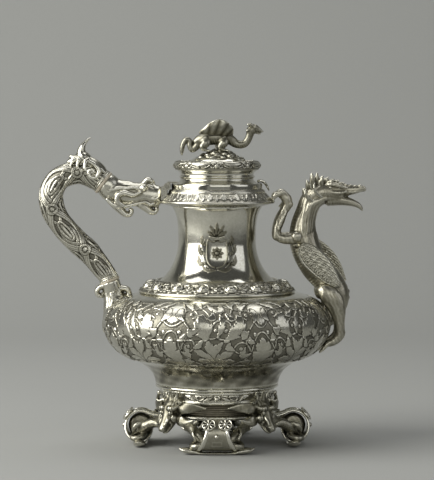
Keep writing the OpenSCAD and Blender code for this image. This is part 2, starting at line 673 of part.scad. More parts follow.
// A folded wing: a leading arm with pinions that fan out behind it
module wing(lift, out) {
    casting() difference() {
        union() {
            limb(on_spout([[-25 + out, 10.6, 64 + lift, 2.8, 2.4], [-23 + out, 13, 54 + lift, 3, 2.6],
                [-15.4 + out, 13.8, 43 + lift, 2.8, 2.4], [-5 + out, 13.4, 33 + lift, 2.2, 2.2],
                [3 + out, 12, 27 + lift, 1.2, 1.2]]), 2, 6);
            for (i = [0:3]) let(t = i / 3)
                limb(on_spout([[-23 + 2 * t + out, 11.6, 62 + lift - 5 * i, 3.6, wing_t],
                    [-13 + 4 * t + out, 13.8, 57 + lift - 4.4 * i, 3.8, wing_t],
                    [-2 + 3 * t + out, 13.6, 48 + lift - 3.4 * i, 3, wing_t],
                    [6 + 1.4 * t + out, 12, 36 + lift - 2 * i, 1, wing_t / 2]]), 1, 6);
        }
        trunk(seat);
    }
}

module wing_near() {
    color("silver") mirror([0, 1, 0]) wing(0, 0);
}

module wing_far() {
    color("silver") wing(4, 5);
}

// A foreleg that grips the rim's lip with three claws
module foreleg() {
    grip_x = rim_r + 1.6;
    casting() difference() {
        union() {
            limb([[belly_r - 28, 9.5, z_lip - 31, 5.6, 4.4], [belly_r - 36, 11, z_lip - 31.8, 4.6, 4],
                [belly_r - 43, 11, z_lip - 27, 4, 3.8], [belly_r - 41, 10, z_lip - 16, 3.8, 3.6],
                [grip_x + 8.4, 9, z_lip - 4, 3.6, 3.4], [grip_x + 7.6, 8.6, z_lip + 3.4, 3.6, 3.8],
                [grip_x + 3.6, 8.4, z_lip + 7, 2.8, 3.6]], 2, 8);
            for (s = [-1:1])
                limb([[grip_x + 5, 8.4 + 1.6 * s, z_lip + 6.4, 2.4, 1.8],
                    [grip_x + 0.6, 8.4 + 3 * s, z_lip + 7.6, 2.1, 1.7],
                    [grip_x - 3, 8.4 + 3.4 * s, z_lip + 4.4, 1.7, 1.4],
                    [grip_x - 2.4, 8.4 + 3.4 * s, z_lip + 1, 0.8, 0.8]], 1, 6);
        }
        trunk(seat);
        vessel_space(0.15);
    }
}

module foreleg_near() {
    color("silver") mirror([0, 1, 0]) foreleg();
}

module foreleg_far() {
    color("silver") foreleg();
}

// A hind leg: haunch on the trunk, shank, and a clawed foot that stands on the belly
module hind_leg() {
    casting() difference() {
        union() {
            limb([[belly_r - 10, 9, z_belly + 21, 4.4, 3.4], [belly_r - 4, 11.6, z_belly + 20, 6.2, 5],
                [belly_r + 2, 12, z_belly + 14.6, 7.4, 5.6], [belly_r + 5.6, 11.4, z_belly + 8, 6, 4.8],
                [belly_r + 6.4, 10.6, z_belly, 4.4, 4], [belly_r + 6.6, 10.4, z_belly - 7, 4, 3.8],
                [belly_r + 3.8, 10.4, z_belly - 13.4, 4.2, 4],
                    [belly_r - 2.6, 10.4, z_belly - 16.6, 3.2, 3.8]],
                2, 8);
            for (s = [-1:1])
                limb([[belly_r - 1, 10.4 + 2 * s, z_belly - 15.6, 1.7, 1.5],
                    [belly_r - 5, 10.4 + 3.6 * s, z_belly - 19.4, 1.4, 1.3],
                    [belly_r - 10, 10.4 + 4 * s, z_belly - 24.6, 0.6, 0.6]], 1, 6);
        }
        trunk(seat);
        vessel_space(seat);
    }
}

module hind_leg_near() {
    color("silver") mirror([0, 1, 0]) hind_leg();
}

module hind_leg_far() {
    color("silver") hind_leg();
}

// A perforated box on the inside of the belly wall, over the hole to the spout
module strainer() {
    r = spout_hole_r + 2.5;
    x = belly_r - 7;
    color("silver") intersection() {
        translate([x, 0, z_belly + spout_hole_rise]) rotate([0, 90, 0]) difference() {
            cylinder(h = 10, r = r);
            translate([0, 0, 1]) cylinder(h = 10, r = r - 1);
            for (n = [[0, 1], [3, 6], [5.6, 12]]) for (i = [0:n[1] - 1])
                rotate(360 * i / n[1]) translate([n[0],
                    0, -1]) cylinder(h = 3, r = strainer_hole_r, $fn = 16);
        }
        rotate_extrude($fn = 14 * chased_repeats)
            polygon(concat([[0, seam[1]]], [for (p = cover_inside) p - [seat, 0]], [[0, z_neck]]));
    }
}

// ---- Handle --------------------------------------------------------------------------------

top_end = [-handle_top_x, z_lip + handle_top_rise];
low_end = [handle_low_inset - belly_r, z_belly + handle_low_rise];
top_way = unit([-0.79, 0.61]);
low_way = unit([-0.39, 0.92]);
// Grip between its two ends: share of the reach, share of the drop, share of the thickness
grip_shape = [[0.36, 1.11, 1.04], [0.58, 1.11, 1], [0.84, 1.05, 1], [0.98, 0.93, 1.02], [0.99, 0.81, 1.04],
    [0.93, 0.7, 1.02], [0.82, 0.6, 1], [0.67, 0.5, 1], [0.47, 0.39, 1], [0.27, 0.29, 0.98]];
stack_t = disc_t + ferrule_t;

function grip_end(p, way, r) = [p[0] + way[0] * stack_t, 0, p[1] + way[1] * stack_t, r, r];

grip_rows = concat(
    [grip_end(top_end, top_way, 0.47 * top_disc_d)],
    [for (g = grip_shape) [top_end[0] - g[0] * handle_reach, 0,
        low_end[1] + g[1] * (top_end[1] - low_end[1]), g[2] * grip_d / 2 - 1, g[2] * grip_d / 2 - 1]],
    [grip_end(low_end, low_way, 0.47 * low_disc_d)]);

// Cuts its children square at both ends of the grip
module between_ferrules() {
    difference() {
        children();
        towards(top_end, -top_way) translate([0, 0, -stack_t]) cylinder(h = 40, r = 40);
        towards(low_end, -low_way) translate([0, 0, -stack_t]) cylinder(h = 24, r = 20);
    }
}

// The grip run on past both ferrules
module long_grip(grow = 0) {
    ends = concat([[top_end[0] + 3, 0, top_end[1] - 2, grip_rows[0][3], grip_rows[0][4]]], grip_rows,
        [[low_end[0] + 1, 0, low_end[1] - 2.4, 0.47 * low_disc_d, 0.47 * low_disc_d]]);
    limb(ends, 2, 12, grow = grow);
}

module handle_grip() {
    color("darkgray") casting() between_ferrules() long_grip();
}

// Bands that cross on both sides of the grip and part in long eyes between the crossings
module grip_straps() {
    q = smooth(grip_rows, 4);
    spine = [for (r = q) [r[0], r[1], r[2]]];
    s = lengths(spine);
    rings = [for (i = [15:2:len(q) - 3]) i];
    ways = [for (i = rings) along(spine, i)];
    color("silver") casting() difference() {
        both_sides() for (phase = [0, 180]) limb([for (i = rings) let(
            out = cross(along(spine, i), [0, 1, 0]), a = 90 + 62 * cos(phase + 180 * s[i] / band_pitch),
            r = q[i][3] + 3 * seat + band_rise / 2)
        concat(spine[i] + r * cos(a) * out + [0, r * sin(a), 0], sqrt(2) / 2 * [band_rise, band_w])],
            1, 4, ways);
        long_grip(seat);
    }
}

module insulator(end, way, d) {
    color("ivory") towards(end, way) difference() {
        cylinder(h = disc_t, r = d / 2);
        translate([0, 0, -1]) cylinder(h = disc_t + 2, r = rivet_r + pin_clearance);
    }
}

module ferrule(end, way, d) {
    color("silver") towards(end, way) translate([0, 0, disc_t]) difference() {
        union() {
            cylinder(h = ferrule_t, r = d / 2 - 1);
            translate([0, 0, ferrule_t / 2]) rotate_extrude() translate([d / 2 - 1,
                0]) circle(ferrule_t / 2 - 0.3, $fn = 24);
        }
        translate([0, 0, -1]) cylinder(h = ferrule_t + 2, r = rivet_r + pin_clearance);
    }
}

module upper_insulator() {
    insulator(top_end, top_way, top_disc_d);
}

module lower_insulator() {
    insulator(low_end, low_way, low_disc_d);
}

module upper_ferrule() {
    ferrule(top_end, top_way, top_disc_d);
}

module lower_ferrule() {
    ferrule(low_end, low_way, low_disc_d);
}

// The rivets that run through ferrule and insulator
module handle_rivets() {
    color("silver") {
        towards(top_end, top_way) cylinder(h = stack_t, r = rivet_r);
        towards(low_end, low_way) cylinder(h = stack_t, r = rivet_r);
    }
}

socket_end_x = pin_x + knuckle_r + 2;
z_hinge_foot = z_lip + 2;

// A sea beast's head that carries the grip and bites the rim
module upper_socket() {
    color("lightgray") casting() difference() {
        union() {
            limb([[top_end[0] - 2, 0, top_end[1] + 1.6, 0.48 * top_disc_d, 0.48 * top_disc_d],
                [top_end[0] + 5, 0, top_end[1] - 4, 0.5 * top_disc_d, 0.47 * top_disc_d],
                [top_end[0] + 12, 0, z_lip + 7.6, 10.6, 9],
                [(top_end[0] - rim_r) / 2, 0, z_lip + 6.4, 9.6, 8.2], [-rim_r - 12, 0, z_lip + 6, 9.6, 8],
                [-rim_r - 5, 0, z_lip + 5, 10, 8.6], [-rim_r + 2, 0, z_lip + 4.4, 9.6, 9]], 2, 10);
            // crest on the brow, curled beard and lip
            limb([[-rim_r - 14, 0, z_lip + 14, 3, 4], [-rim_r - 9, 0, z_lip + 17, 3, 4],
                [-rim_r - 4.6, 0, z_lip + 15.4, 2, 3]], 1, 8);
            limb([[top_end[0] + 8, 0, z_lip - 1, 4, 4.6], [top_end[0] + 13, 0, z_lip - 7.4, 3, 3.4],
                [top_end[0] + 17.6, 0, z_lip - 10.6, 2, 2.4],
                    [top_end[0] + 20.6, 0, z_lip - 7.6, 1, 1.4]], 1, 8);
            limb([[-rim_r - 12, 0, z_lip - 2, 3.4, 4.6], [-rim_r - 8.4, 0, z_lip - 8, 2.6, 3.4],
                [-rim_r - 4.4, 0, z_lip - 9.4, 1.8, 2.4], [-rim_r - 2.4, 0, z_lip - 6.4, 1, 1.4]], 1, 8);
            both_sides() {
                translate([-rim_r - 9, 6.4, z_lip + 11]) sphere(3, $fn = 8);
                // gill fin
                limb([[-rim_r - 16, 6, z_lip + 8, 4.4, 2], [-rim_r - 24, 9, z_lip + 9, 5, 1.6],
                    [-rim_r - 31, 11, z_lip + 12, 1, 0.8]], 1, 6);
            }
        }
        towards(top_end, top_way) cylinder(h = 30, r = 40);
        vessel_space(0.15);
        translate([-socket_end_x, -20, z_hinge_foot - seat]) cube([40, 40, 40]);
    }
}

module lower_socket() {
    z = z_belly;
    color("lightgray") casting() difference() {
        union() {
            limb([[low_end[0] - 1, 0, low_end[1] + 2, 0.5 * low_disc_d, 0.5 * low_disc_d],
                [low_end[0] + 1.4, 0, low_end[1] - 5, 0.5 * low_disc_d, 0.5 * low_disc_d],
                [low_end[0] + 2.6, 0, z + 18, 8.6, 9.6], [low_end[0] + 3, 0, z + 10, 9, 10],
                [low_end[0] + 0.8, 0, z + 2, 7, 7.4], [low_end[0] - 3.4, 0, z - 6, 3, 2.4]], 2, 10);
            // leaf that runs up the shoulder, and two curls
            limb([[low_end[0] + 6, 0, z + 18, 5, 8], [low_end[0] + 14, 0, z + 17.4, 4, 7],
                [low_end[0] + 22, 0, z + 18.6, 2.6, 4.6], [low_end[0] + 27, 0, z + 20.6, 1, 1.6]], 1, 8);
            limb([[low_end[0] + 4, 0, low_end[1] - 4, 3, 5], [low_end[0] + 11, 0, low_end[1] - 5, 2.6, 4.4],
                [low_end[0] + 14.6, 0, low_end[1] - 9, 2.4, 4],
                    [low_end[0] + 11.6, 0, low_end[1] - 11.6, 1.4, 3]], 1, 8);
            limb([[low_end[0] - 5, 0, low_end[1] - 3, 2.4, 5],
                [low_end[0] - 10, 0, low_end[1] - 6, 2.2, 4.4],
                [low_end[0] - 10.6, 0, low_end[1] - 10.6, 1.8, 3.6],
                    [low_end[0] - 7, 0, low_end[1] - 11.4, 1, 2.6]], 1, 8);
        }
        towards(low_end, low_way) cylinder(h = 20, r = 30);
        vessel_space(seat);
    }
}

// The acanthus leaf that rises from the grip for the thumb
module thumb_leaf() {
    x = top_end[0];
    z = top_end[1];
    color("lightgray") casting() difference() {
        union() {
            limb([[x - 2, 0, z + 9, 2.4, 5], [x - 4, 0, z + 15, 2, 6.4], [x - 11, 0, z + 21, 2, 7.4],
                [x - 18.4, 0, z + 25, 2, 5], [x - 18.6, 0, z + 31, 1.6, 3],
                    [x - 14, 0, z + 37, 0.6, 0.8]], 1, 8);
            limb([[x - 18, 0, z + 24, 2.4, 6], [x - 24, 0, z + 22, 2.2, 6.6],
                [x - 28.6, 0, z + 17.4, 1.8, 5],
                [x - 30, 0, z + 13, 1, 3]], 1, 8);
            both_sides() limb([[x - 5, 4, z + 16, 2.6, 2.4], [x - 9, 9, z + 13.6, 3, 1.8],
                [x - 9, 11.6, z + 8, 2.6, 1.6],
                [x - 5, 11.8, z + 7, 1.2, 1.2]], 1, 8);
        }
        long_grip(seat);
        towards(top_end, top_way) cylinder(h = stack_t + seat, r = top_disc_d / 2 + seat);
    }
}

// ---- Lid -----------------------------------------------------------------------------------

lid_line = concat(
    [[flange_r, z_mouth], [flange_r, z_flange - 1], [flange_r - 0.8, z_flange],
        [lid_waist_r + 2.4, z_flange]],
    bezier([lid_waist_r + 1.6, z_flange + 0.6], [lid_waist_r, z_flange + 1.6],
        [lid_waist_r, z_lid_border - 3], [lid_waist_r + 3.4, z_lid_border], 6));
dome_line = bezier([lid_waist_r + 3.4, z_lid_border], [lid_waist_r - 4, z_lid_border + 0.2 * crown_h],
    [crown_r + 6, z_crown - 0.2], [crown_r, z_crown], 6);
stem_r = 1.5;

module lid_shell() {
    outside = concat(lid_line, tail(dome_line));
    inside = concat([[mouth_r - bezel_gap, z_mouth], [mouth_r - bezel_gap, z_mouth + wall],
        [lid_waist_r - wall, z_flange + 1]],
        [for (p = beside(outside, wall)) if (p[1] > z_flange + 2 && p[1] < z_crown - wall) p],
        [[crown_r - 1, z_crown - wall], [0, z_crown - wall]]);
    color("whitesmoke") difference() {
        rotate_extrude($fn = 96) polygon(concat(outside, [[0, z_crown]], backwards(inside)));
        translate([0, 0, z_crown - 5]) cylinder(h = 10, r = stem_r + 0.1);
    }
}

module lid_bezel() {
    r = mouth_r - bezel_gap;
    color("silver") rotate_extrude($fn = 96) polygon([[r, z_mouth - bezel_h], [r, z_mouth],
        [r, z_mouth + wall], [r - wall, z_mouth + wall], [r - wall, z_mouth - bezel_h]]);
}

module lid_border() {
    seat_line = [for (p = beside(dome_line, -0.05)) if (p[0] > crown_r + 9) p];
    r = lid_waist_r + 3.4;
    top = z_lid_border + lid_border_h;
    color("lightgray") {
        rotate_extrude($fn = 96) polygon(concat([[r, z_lid_border + 0.05]], tail(seat_line), [
            [seat_line[len(seat_line) - 1][0], top - 1.6], [r - 3, top], [lid_border_r - 1.6, top - 0.8],
            [lid_border_r, top - 2.6], [lid_border_r - 1, z_lid_border + 2.4],
                [lid_border_r, z_lid_border + 1.4],
            [lid_border_r - 0.8, z_lid_border + 0.2]]));
        around(lid_stones) translate([lid_border_r - 1.6, 0,
            z_lid_border + 0.5 * lid_border_h]) rotate([0, 68, 0])
            stone(1.9);
        around(lid_stones, 180 / lid_stones) translate([lid_border_r - 2, 0,
            z_lid_border + 0.48 * lid_border_h])
            rotate([0, 68, 0]) shell(1.9);
    }
}

// A small leaf at the spout side of the flange, to lift the lid by
module lid_leaf() {
    color("silver") casting() difference() {
        limb([[flange_r - 4, 0, z_flange + 1.4, 1.6, 5], [flange_r + 0.6, 0, z_flange + 1, 1.6, 5.6],
            [flange_r + 3, 0, z_flange - 2.4, 1.3, 4.4], [flange_r + 5, 0, z_mouth + 1.6, 0.6, 2]], 3, 8);
        rotate_extrude() polygon([[0, z_mouth - 1], [flange_r + seat, z_mouth - 1],
            [flange_r + seat, z_flange + seat / 2],
            [lid_waist_r, z_flange + seat / 2], [0, z_flange + 1]]);
    }
}

rock_h = 7.4;

// The lumps of the rock and the mound under them, grown for fitting the dragon to them
module rocks(grow = 0) {
    lumps = [for (i = [0:6]) let(a = 51 * i) [9.6 * cos(a), 8.4 * sin(a), 3.6 + 1.6 * sin(3 * a)]];
    for (l = lumps) translate([l[0] + 2, l[1], z_crown + 0.4 * l[2]]) rotate(l[0] * 20) scale([1.2, 1, 0.9])
        sphere(l[2] + 0.6 + grow, $fn = 6);
    translate([2, 0, z_crown]) scale([1.7, 1.2, 1]) sphere(rock_h + grow, $fn = 12);
}

module rockwork() {
    color("gray") casting() difference() {
        rocks();
        translate([0, 0, z_crown - 20]) cube(40, center = true);
        translate([0, 0, z_crown - 1]) cylinder(h = 20, r = stem_r + 0.1, $fn = 32);
    }
}

z_rock = z_crown + rock_h;
finial_rows = [[-17, 0, z_rock + 5.6, 2.2, 2.6], [-12, 0, z_rock + 8.4, 4, 4.6],
    [-4, 0, z_rock + 10, 5.4, 6],
    [5, 0, z_rock + 9.8, 5, 5.4], [11.6, 0, z_rock + 8, 3.4, 3.8], [15, 0, z_rock + 3.6, 2.4, 2.6],
    [19.6, 0, z_rock + 1.9, 2.1, 2.2], [24.4, 0, z_rock + 4.6, 1.9, 2], [26.8, 0, z_rock + 10.4, 2, 2],
    [26.6, 0, z_rock + 15.6, 2.6, 2.6], [29.4, 0, z_rock + 17.4, 2.4, 2.4],
        [33.6, 0, z_rock + 15.2, 1.4, 1.6],
    [37.4, 0, z_rock + 13.4, 0.6, 0.8]];

module finial_dragon() {
    color("silver") casting() difference() {
        union() {
            limb(finial_rows, 1, 8);
            // tail with an arrow tip
            limb([[-13, 0, z_rock + 8, 2.6, 3], [-17, 0, z_rock + 1.4, 2, 2.2],
                [-21.6, 0, z_rock - 2.6, 1.6, 1.8],
                [-23, 0, z_rock + 1.6, 1.5, 1.6], [-22.6, 0, z_rock + 5.4, 1.4, 1.5],
                    [-26, 0, z_rock + 5.4, 1.3, 1.4],
                [-28.4, 0, z_rock, 1.2, 2.2], [-28, 0, z_rock - 5.6, 0.5, 0.6]], 1, 6);
            // ears and crest
            both_sides() limb([[27, 1.6, z_rock + 18, 1, 0.9], [23.6, 3, z_rock + 20, 0.9, 0.8],
                [21, 3.6, z_rock + 20, 0.4, 0.4]], 1, 6);
            both_sides() for (x = [-9, 5])
                limb([[x, 3, z_rock + 6.6, 3, 2.4], [x - 1.4, 6, z_rock + 3.2, 1.8, 1.7],
                    [x + 1, 7, z_rock - 0.6, 1.4, 1.4], [x + 3.4, 7, z_rock - 2.2, 1, 1.2]], 1, 6);
        }
        // seat on the rock, and the socket of the bolt
        rocks(0.15);
        translate([0, 0, z_rock - 4]) cylinder(h = 11, r = stem_r + 0.1, $fn = 32);
    }
}

module finial_wings() {
    color("silver") casting() both_sides() difference() {
        union() {
            limb([[8, 4, z_rock + 12.6, 1.6, 1.6], [6, 8, z_rock + 19, 1.5, 1.3],
                [0, 10.4, z_rock + 23.2, 1.3, 1.2],
                [-8, 10.6, z_rock + 19, 1, 1], [-14, 9, z_rock + 12.6, 0.5, 0.6]], 1, 6);
            for (i = [0:2]) limb([[6 - 3 * i, 5, z_rock + 13, 2.4, 0.8],
                [3 - 3.4 * i, 8.6, z_rock + 18 - 0.8 * i, 2.8, 0.8],
                [-1 - 3.6 * i, 10.2, z_rock + 22 - 2 * i, 0.9, 0.6]], 1, 6, [0, 1, -0.4]);
        }
        limb(finial_rows, 1, 8, grow = seat);
    }
}

// Stem from the dragon's belly through rock and crown to a nut inside the lid
module finial_bolt() {
    color("silver") translate([0, 0, z_crown - wall - 4]) cylinder(h = wall + 4 + rock_h + 7, r = stem_r);
}

module finial_nut() {
    color("silver") translate([0, 0, z_crown - wall - 2.6]) difference() {
        cylinder(h = 2.6, r = 4, $fn = 6);
        translate([0, 0, -1]) cylinder(h = 5, r = stem_r + pin_clearance);
    }
}

// ---- Hinge ---------------------------------------------------------------------------------

outer_knuckle_y = knuckle_w / 2 + knuckle_gap;

module knuckle(y, w, bore) {
    translate([-pin_x, y, z_pin]) rotate([-90, 0, 0]) difference() {
        cylinder(h = w, r = knuckle_r);
        translate([0, 0, -1]) cylinder(h = w + 2, r = bore);
    }
}

module pin_bore(bore) {
    translate([-pin_x, -knuckle_w - outer_knuckle_w, z_pin]) rotate([-90, 0, 0])
        cylinder(h = 2 * (knuckle_w + outer_knuckle_w), r = bore);
}

module pot_hinge_leaf() {
    color("silver") both_sides() {
        difference() {
            union() {
                knuckle(outer_knuckle_y, outer_knuckle_w, pin_r);
                translate([-socket_end_x, outer_knuckle_y, z_hinge_foot])
                    cube([socket_end_x - pin_x, outer_knuckle_w, z_pin - z_hinge_foot]);
            }
            pin_bore(pin_r + 0.02);
            vessel_space(0.05);
        }
    }
    color("silver") difference() {
        translate([-socket_end_x, -outer_knuckle_y - outer_knuckle_w, z_hinge_foot])
            cube([1.4, 2 * (outer_knuckle_y + outer_knuckle_w), z_pin - z_hinge_foot]);
        vessel_space(0.05);
    }
}

module lid_hinge_leaf() {
    tab_t = z_pin + knuckle_r - z_flange;
    color("silver") difference() {
        union() {
            knuckle(-knuckle_w / 2, knuckle_w, pin_r);
            translate([-pin_x, -knuckle_w / 2, z_flange]) cube([pin_x - flange_r + 5, knuckle_w,
                tab_t + 0.8]);
        }
        pin_bore(pin_r + pin_clearance);
    }
}

module hinge_pin() {
    w = 2 * (outer_knuckle_y + outer_knuckle_w);
    color("silver") translate([-pin_x, -w / 2 - 0.6, z_pin]) rotate([-90, 0, 0]) {
        cylinder(h = w + 1.2, r = pin_r);
        translate([0, 0, -0.6]) cylinder(h = 1.2, r = pin_r + 0.5);
        translate([0, 0, w + 0.6]) cylinder(h = 1.2, r = pin_r + 0.5);
    }
}

base_plate();
reeded_band();
base_drum();
drum_studs();
foot_ring();
belly_shell();
belly_cover();
shoulder_border();
neck();
rim_collar();
shield();
shield_crest();
rotate(-90) foot();  // foot_front
rotate(90) foot();  // foot_back
foot();  // foot_spout_side
rotate(180) foot();  // foot_handle_side
foot_pads();
foot_beads();
foot_bosses();
rotate(-90) serpent();  // serpent_front
rotate(90) serpent();  // serpent_back
serpent();  // serpent_spout_side
rotate(180) serpent();  // serpent_handle_side
rotate(-135) mask();  // mask_front_left
rotate(-45) mask();  // mask_front_right
rotate(135) mask();  // mask_back_left
rotate(45) mask();  // mask_back_right
spout_dragon();
dragon_mane();
wing_near();
wing_far();
foreleg_near();
foreleg_far();
hind_leg_near();
hind_leg_far();
strainer();
handle_grip();
grip_straps();
upper_insulator();
lower_insulator();
upper_ferrule();
lower_ferrule();
upper_socket();
lower_socket();
handle_rivets();
thumb_leaf();
lid_shell();
lid_bezel();
lid_border();
lid_leaf();
rockwork();
finial_dragon();
finial_wings();
finial_bolt();
finial_nut();
pot_hinge_leaf();
lid_hinge_leaf();
hinge_pin();
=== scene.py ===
"""A silver coffee pot with a dragon spout: the finish of every piece, in the frame of its CAD model."""

import json
import logging
from dataclasses import dataclass, field
from enum import Enum
from typing import Callable, Sequence

import bmesh
import bpy
import numpy as np
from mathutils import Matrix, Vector
from numpy.typing import NDArray

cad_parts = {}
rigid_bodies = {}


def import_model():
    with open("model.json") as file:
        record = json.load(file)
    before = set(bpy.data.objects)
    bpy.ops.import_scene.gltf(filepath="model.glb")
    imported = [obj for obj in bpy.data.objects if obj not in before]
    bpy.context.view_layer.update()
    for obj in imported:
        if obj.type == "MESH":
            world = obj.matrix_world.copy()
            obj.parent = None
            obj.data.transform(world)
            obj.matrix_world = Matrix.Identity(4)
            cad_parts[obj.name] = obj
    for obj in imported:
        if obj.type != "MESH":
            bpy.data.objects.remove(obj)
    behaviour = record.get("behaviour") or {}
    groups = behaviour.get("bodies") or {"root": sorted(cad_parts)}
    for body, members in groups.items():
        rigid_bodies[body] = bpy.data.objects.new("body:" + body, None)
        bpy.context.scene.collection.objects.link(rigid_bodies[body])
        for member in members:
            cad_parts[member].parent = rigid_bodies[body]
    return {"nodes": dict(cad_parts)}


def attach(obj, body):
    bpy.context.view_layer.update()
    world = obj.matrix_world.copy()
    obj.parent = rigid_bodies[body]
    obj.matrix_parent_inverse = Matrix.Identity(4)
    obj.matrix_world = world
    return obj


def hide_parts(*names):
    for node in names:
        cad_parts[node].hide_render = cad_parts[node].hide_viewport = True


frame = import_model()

Array = NDArray[np.float64]
Rows = Sequence[Sequence[float]]
log = logging.getLogger("coffee_pot")
MM = 0.001
MERGE_MM = 0.02
FLAT_MM = 0.005
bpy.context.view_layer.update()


# ---- Numbers and curves ----------------------------------------------------------------------


def linear(colour: str) -> tuple[float, float, float, float]:
    """Turns an sRGB hex colour to linear light.

    Args:
        colour: six hex digits, such as "c8c4b8".

    Returns:
        Red, green, blue and alpha, linear.
    """
    srgb = np.array([int(colour[i : i + 2], 16) for i in (0, 2, 4)]) / 255
    value = np.where(srgb <= 0.04045, srgb / 12.92, ((srgb + 0.055) / 1.055) ** 2.4)
    return float(value[0]), float(value[1]), float(value[2]), 1.0


def spline(points: Rows, count: int) -> Array:
    """A smooth line through points: between two of them a cubic whose slopes follow their neighbours.

    Args:
        points: the points, each of any number of values.
        count: how many points to return.

    Returns:
        An array of count rows.
    """
    p = np.asarray(points, float)
    last = len(p) - 1
    t = np.linspace(0, last, count)
    i = np.minimum(t.astype(int), last - 1)
    f = (t - i)[:, None]
    a, b, c, d = p[np.maximum(i - 1, 0)], p[i], p[i + 1], p[np.minimum(i + 2, last)]
    return (2 * b + (c - a) * f + (2 * a - 5 * b + 4 * c - d) * f**2 + (3 * b - a - 3 * c + d) * f**3) / 2


def bezier(a: Sequence[float], b: Sequence[float], c: Sequence[float], d: Sequence[float],
        count: int) -> Array:
    """A cubic with end points a and d, pulled towards b and c.

    Args:
        a: start. b: pull at the start. c: pull at the end. d: end.
        count: how many points to return.

    Returns:
        An array of count points.
    """
    t = np.linspace(0, 1, count)[:, None]
    s = 1 - t
    return s**3 * np.array(a) + 3 * s * s * t * np.array(b) + 3 * s * t * t * np.array(c) + t**3 * np.array(d)


def lengths(line: Array) -> Array:
    """The way along a line up to each of its points."""
    return np.r_[0, np.cumsum(np.linalg.norm(np.diff(line, axis=0), axis=1))]


def even(line: Array, step: float) -> Array:
    """The same line with points at even steps along it.

    Args:
        line: points of a line.
        step: wanted distance between points, in the line's unit.

    Returns:
        The points, the first and last kept.
    """
    s = lengths(line)
    at = np.linspace(0, s[-1], max(2, int(round(s[-1] / step)) + 1))
    return np.stack([np.interp(at, s, line[:, k]) for k in range(line.shape[1])], 1)


def unit(v: Array) -> Array:
    """Vectors of length one along the last axis."""
    return v / np.maximum(np.linalg.norm(v, axis=-1, keepdims=True), 1e-12)


def step_up(x: Array, low: float, high: float) -> Array:
    """A soft step: 0 below low, 1 above high, and 3t squared less 2t cubed between."""
    t = np.clip((x - low) / (high - low), 0, 1)
    return t * t * (3 - 2 * t)


def right_of(line: Array) -> Array:
    """Unit vectors square to a line in a plane, on its right."""
    way = unit(np.gradient(line, axis=0))
    return np.stack([way[:, 1], -way[:, 0]], 1)


def capped(rings: Array) -> Array:
    """A run of rings, with each end closed at the middle of its last ring."""
    middles = rings.mean(1, keepdims=True)
    return np.concatenate([0 * rings[:1] + middles[:1], rings, 0 * rings[-1:] + middles[-1:]])


def rows_at(x: float, z: float, rows: Rows) -> list[tuple[float, ...]]:
    """Rows given from a place in the XZ plane: x and z are added to the first and third value of each."""
    return [(x + row[0], row[1], z + row[2], *row[3:]) for row in rows]


# ---- Meshes ------------------------------------------------------------------------------------


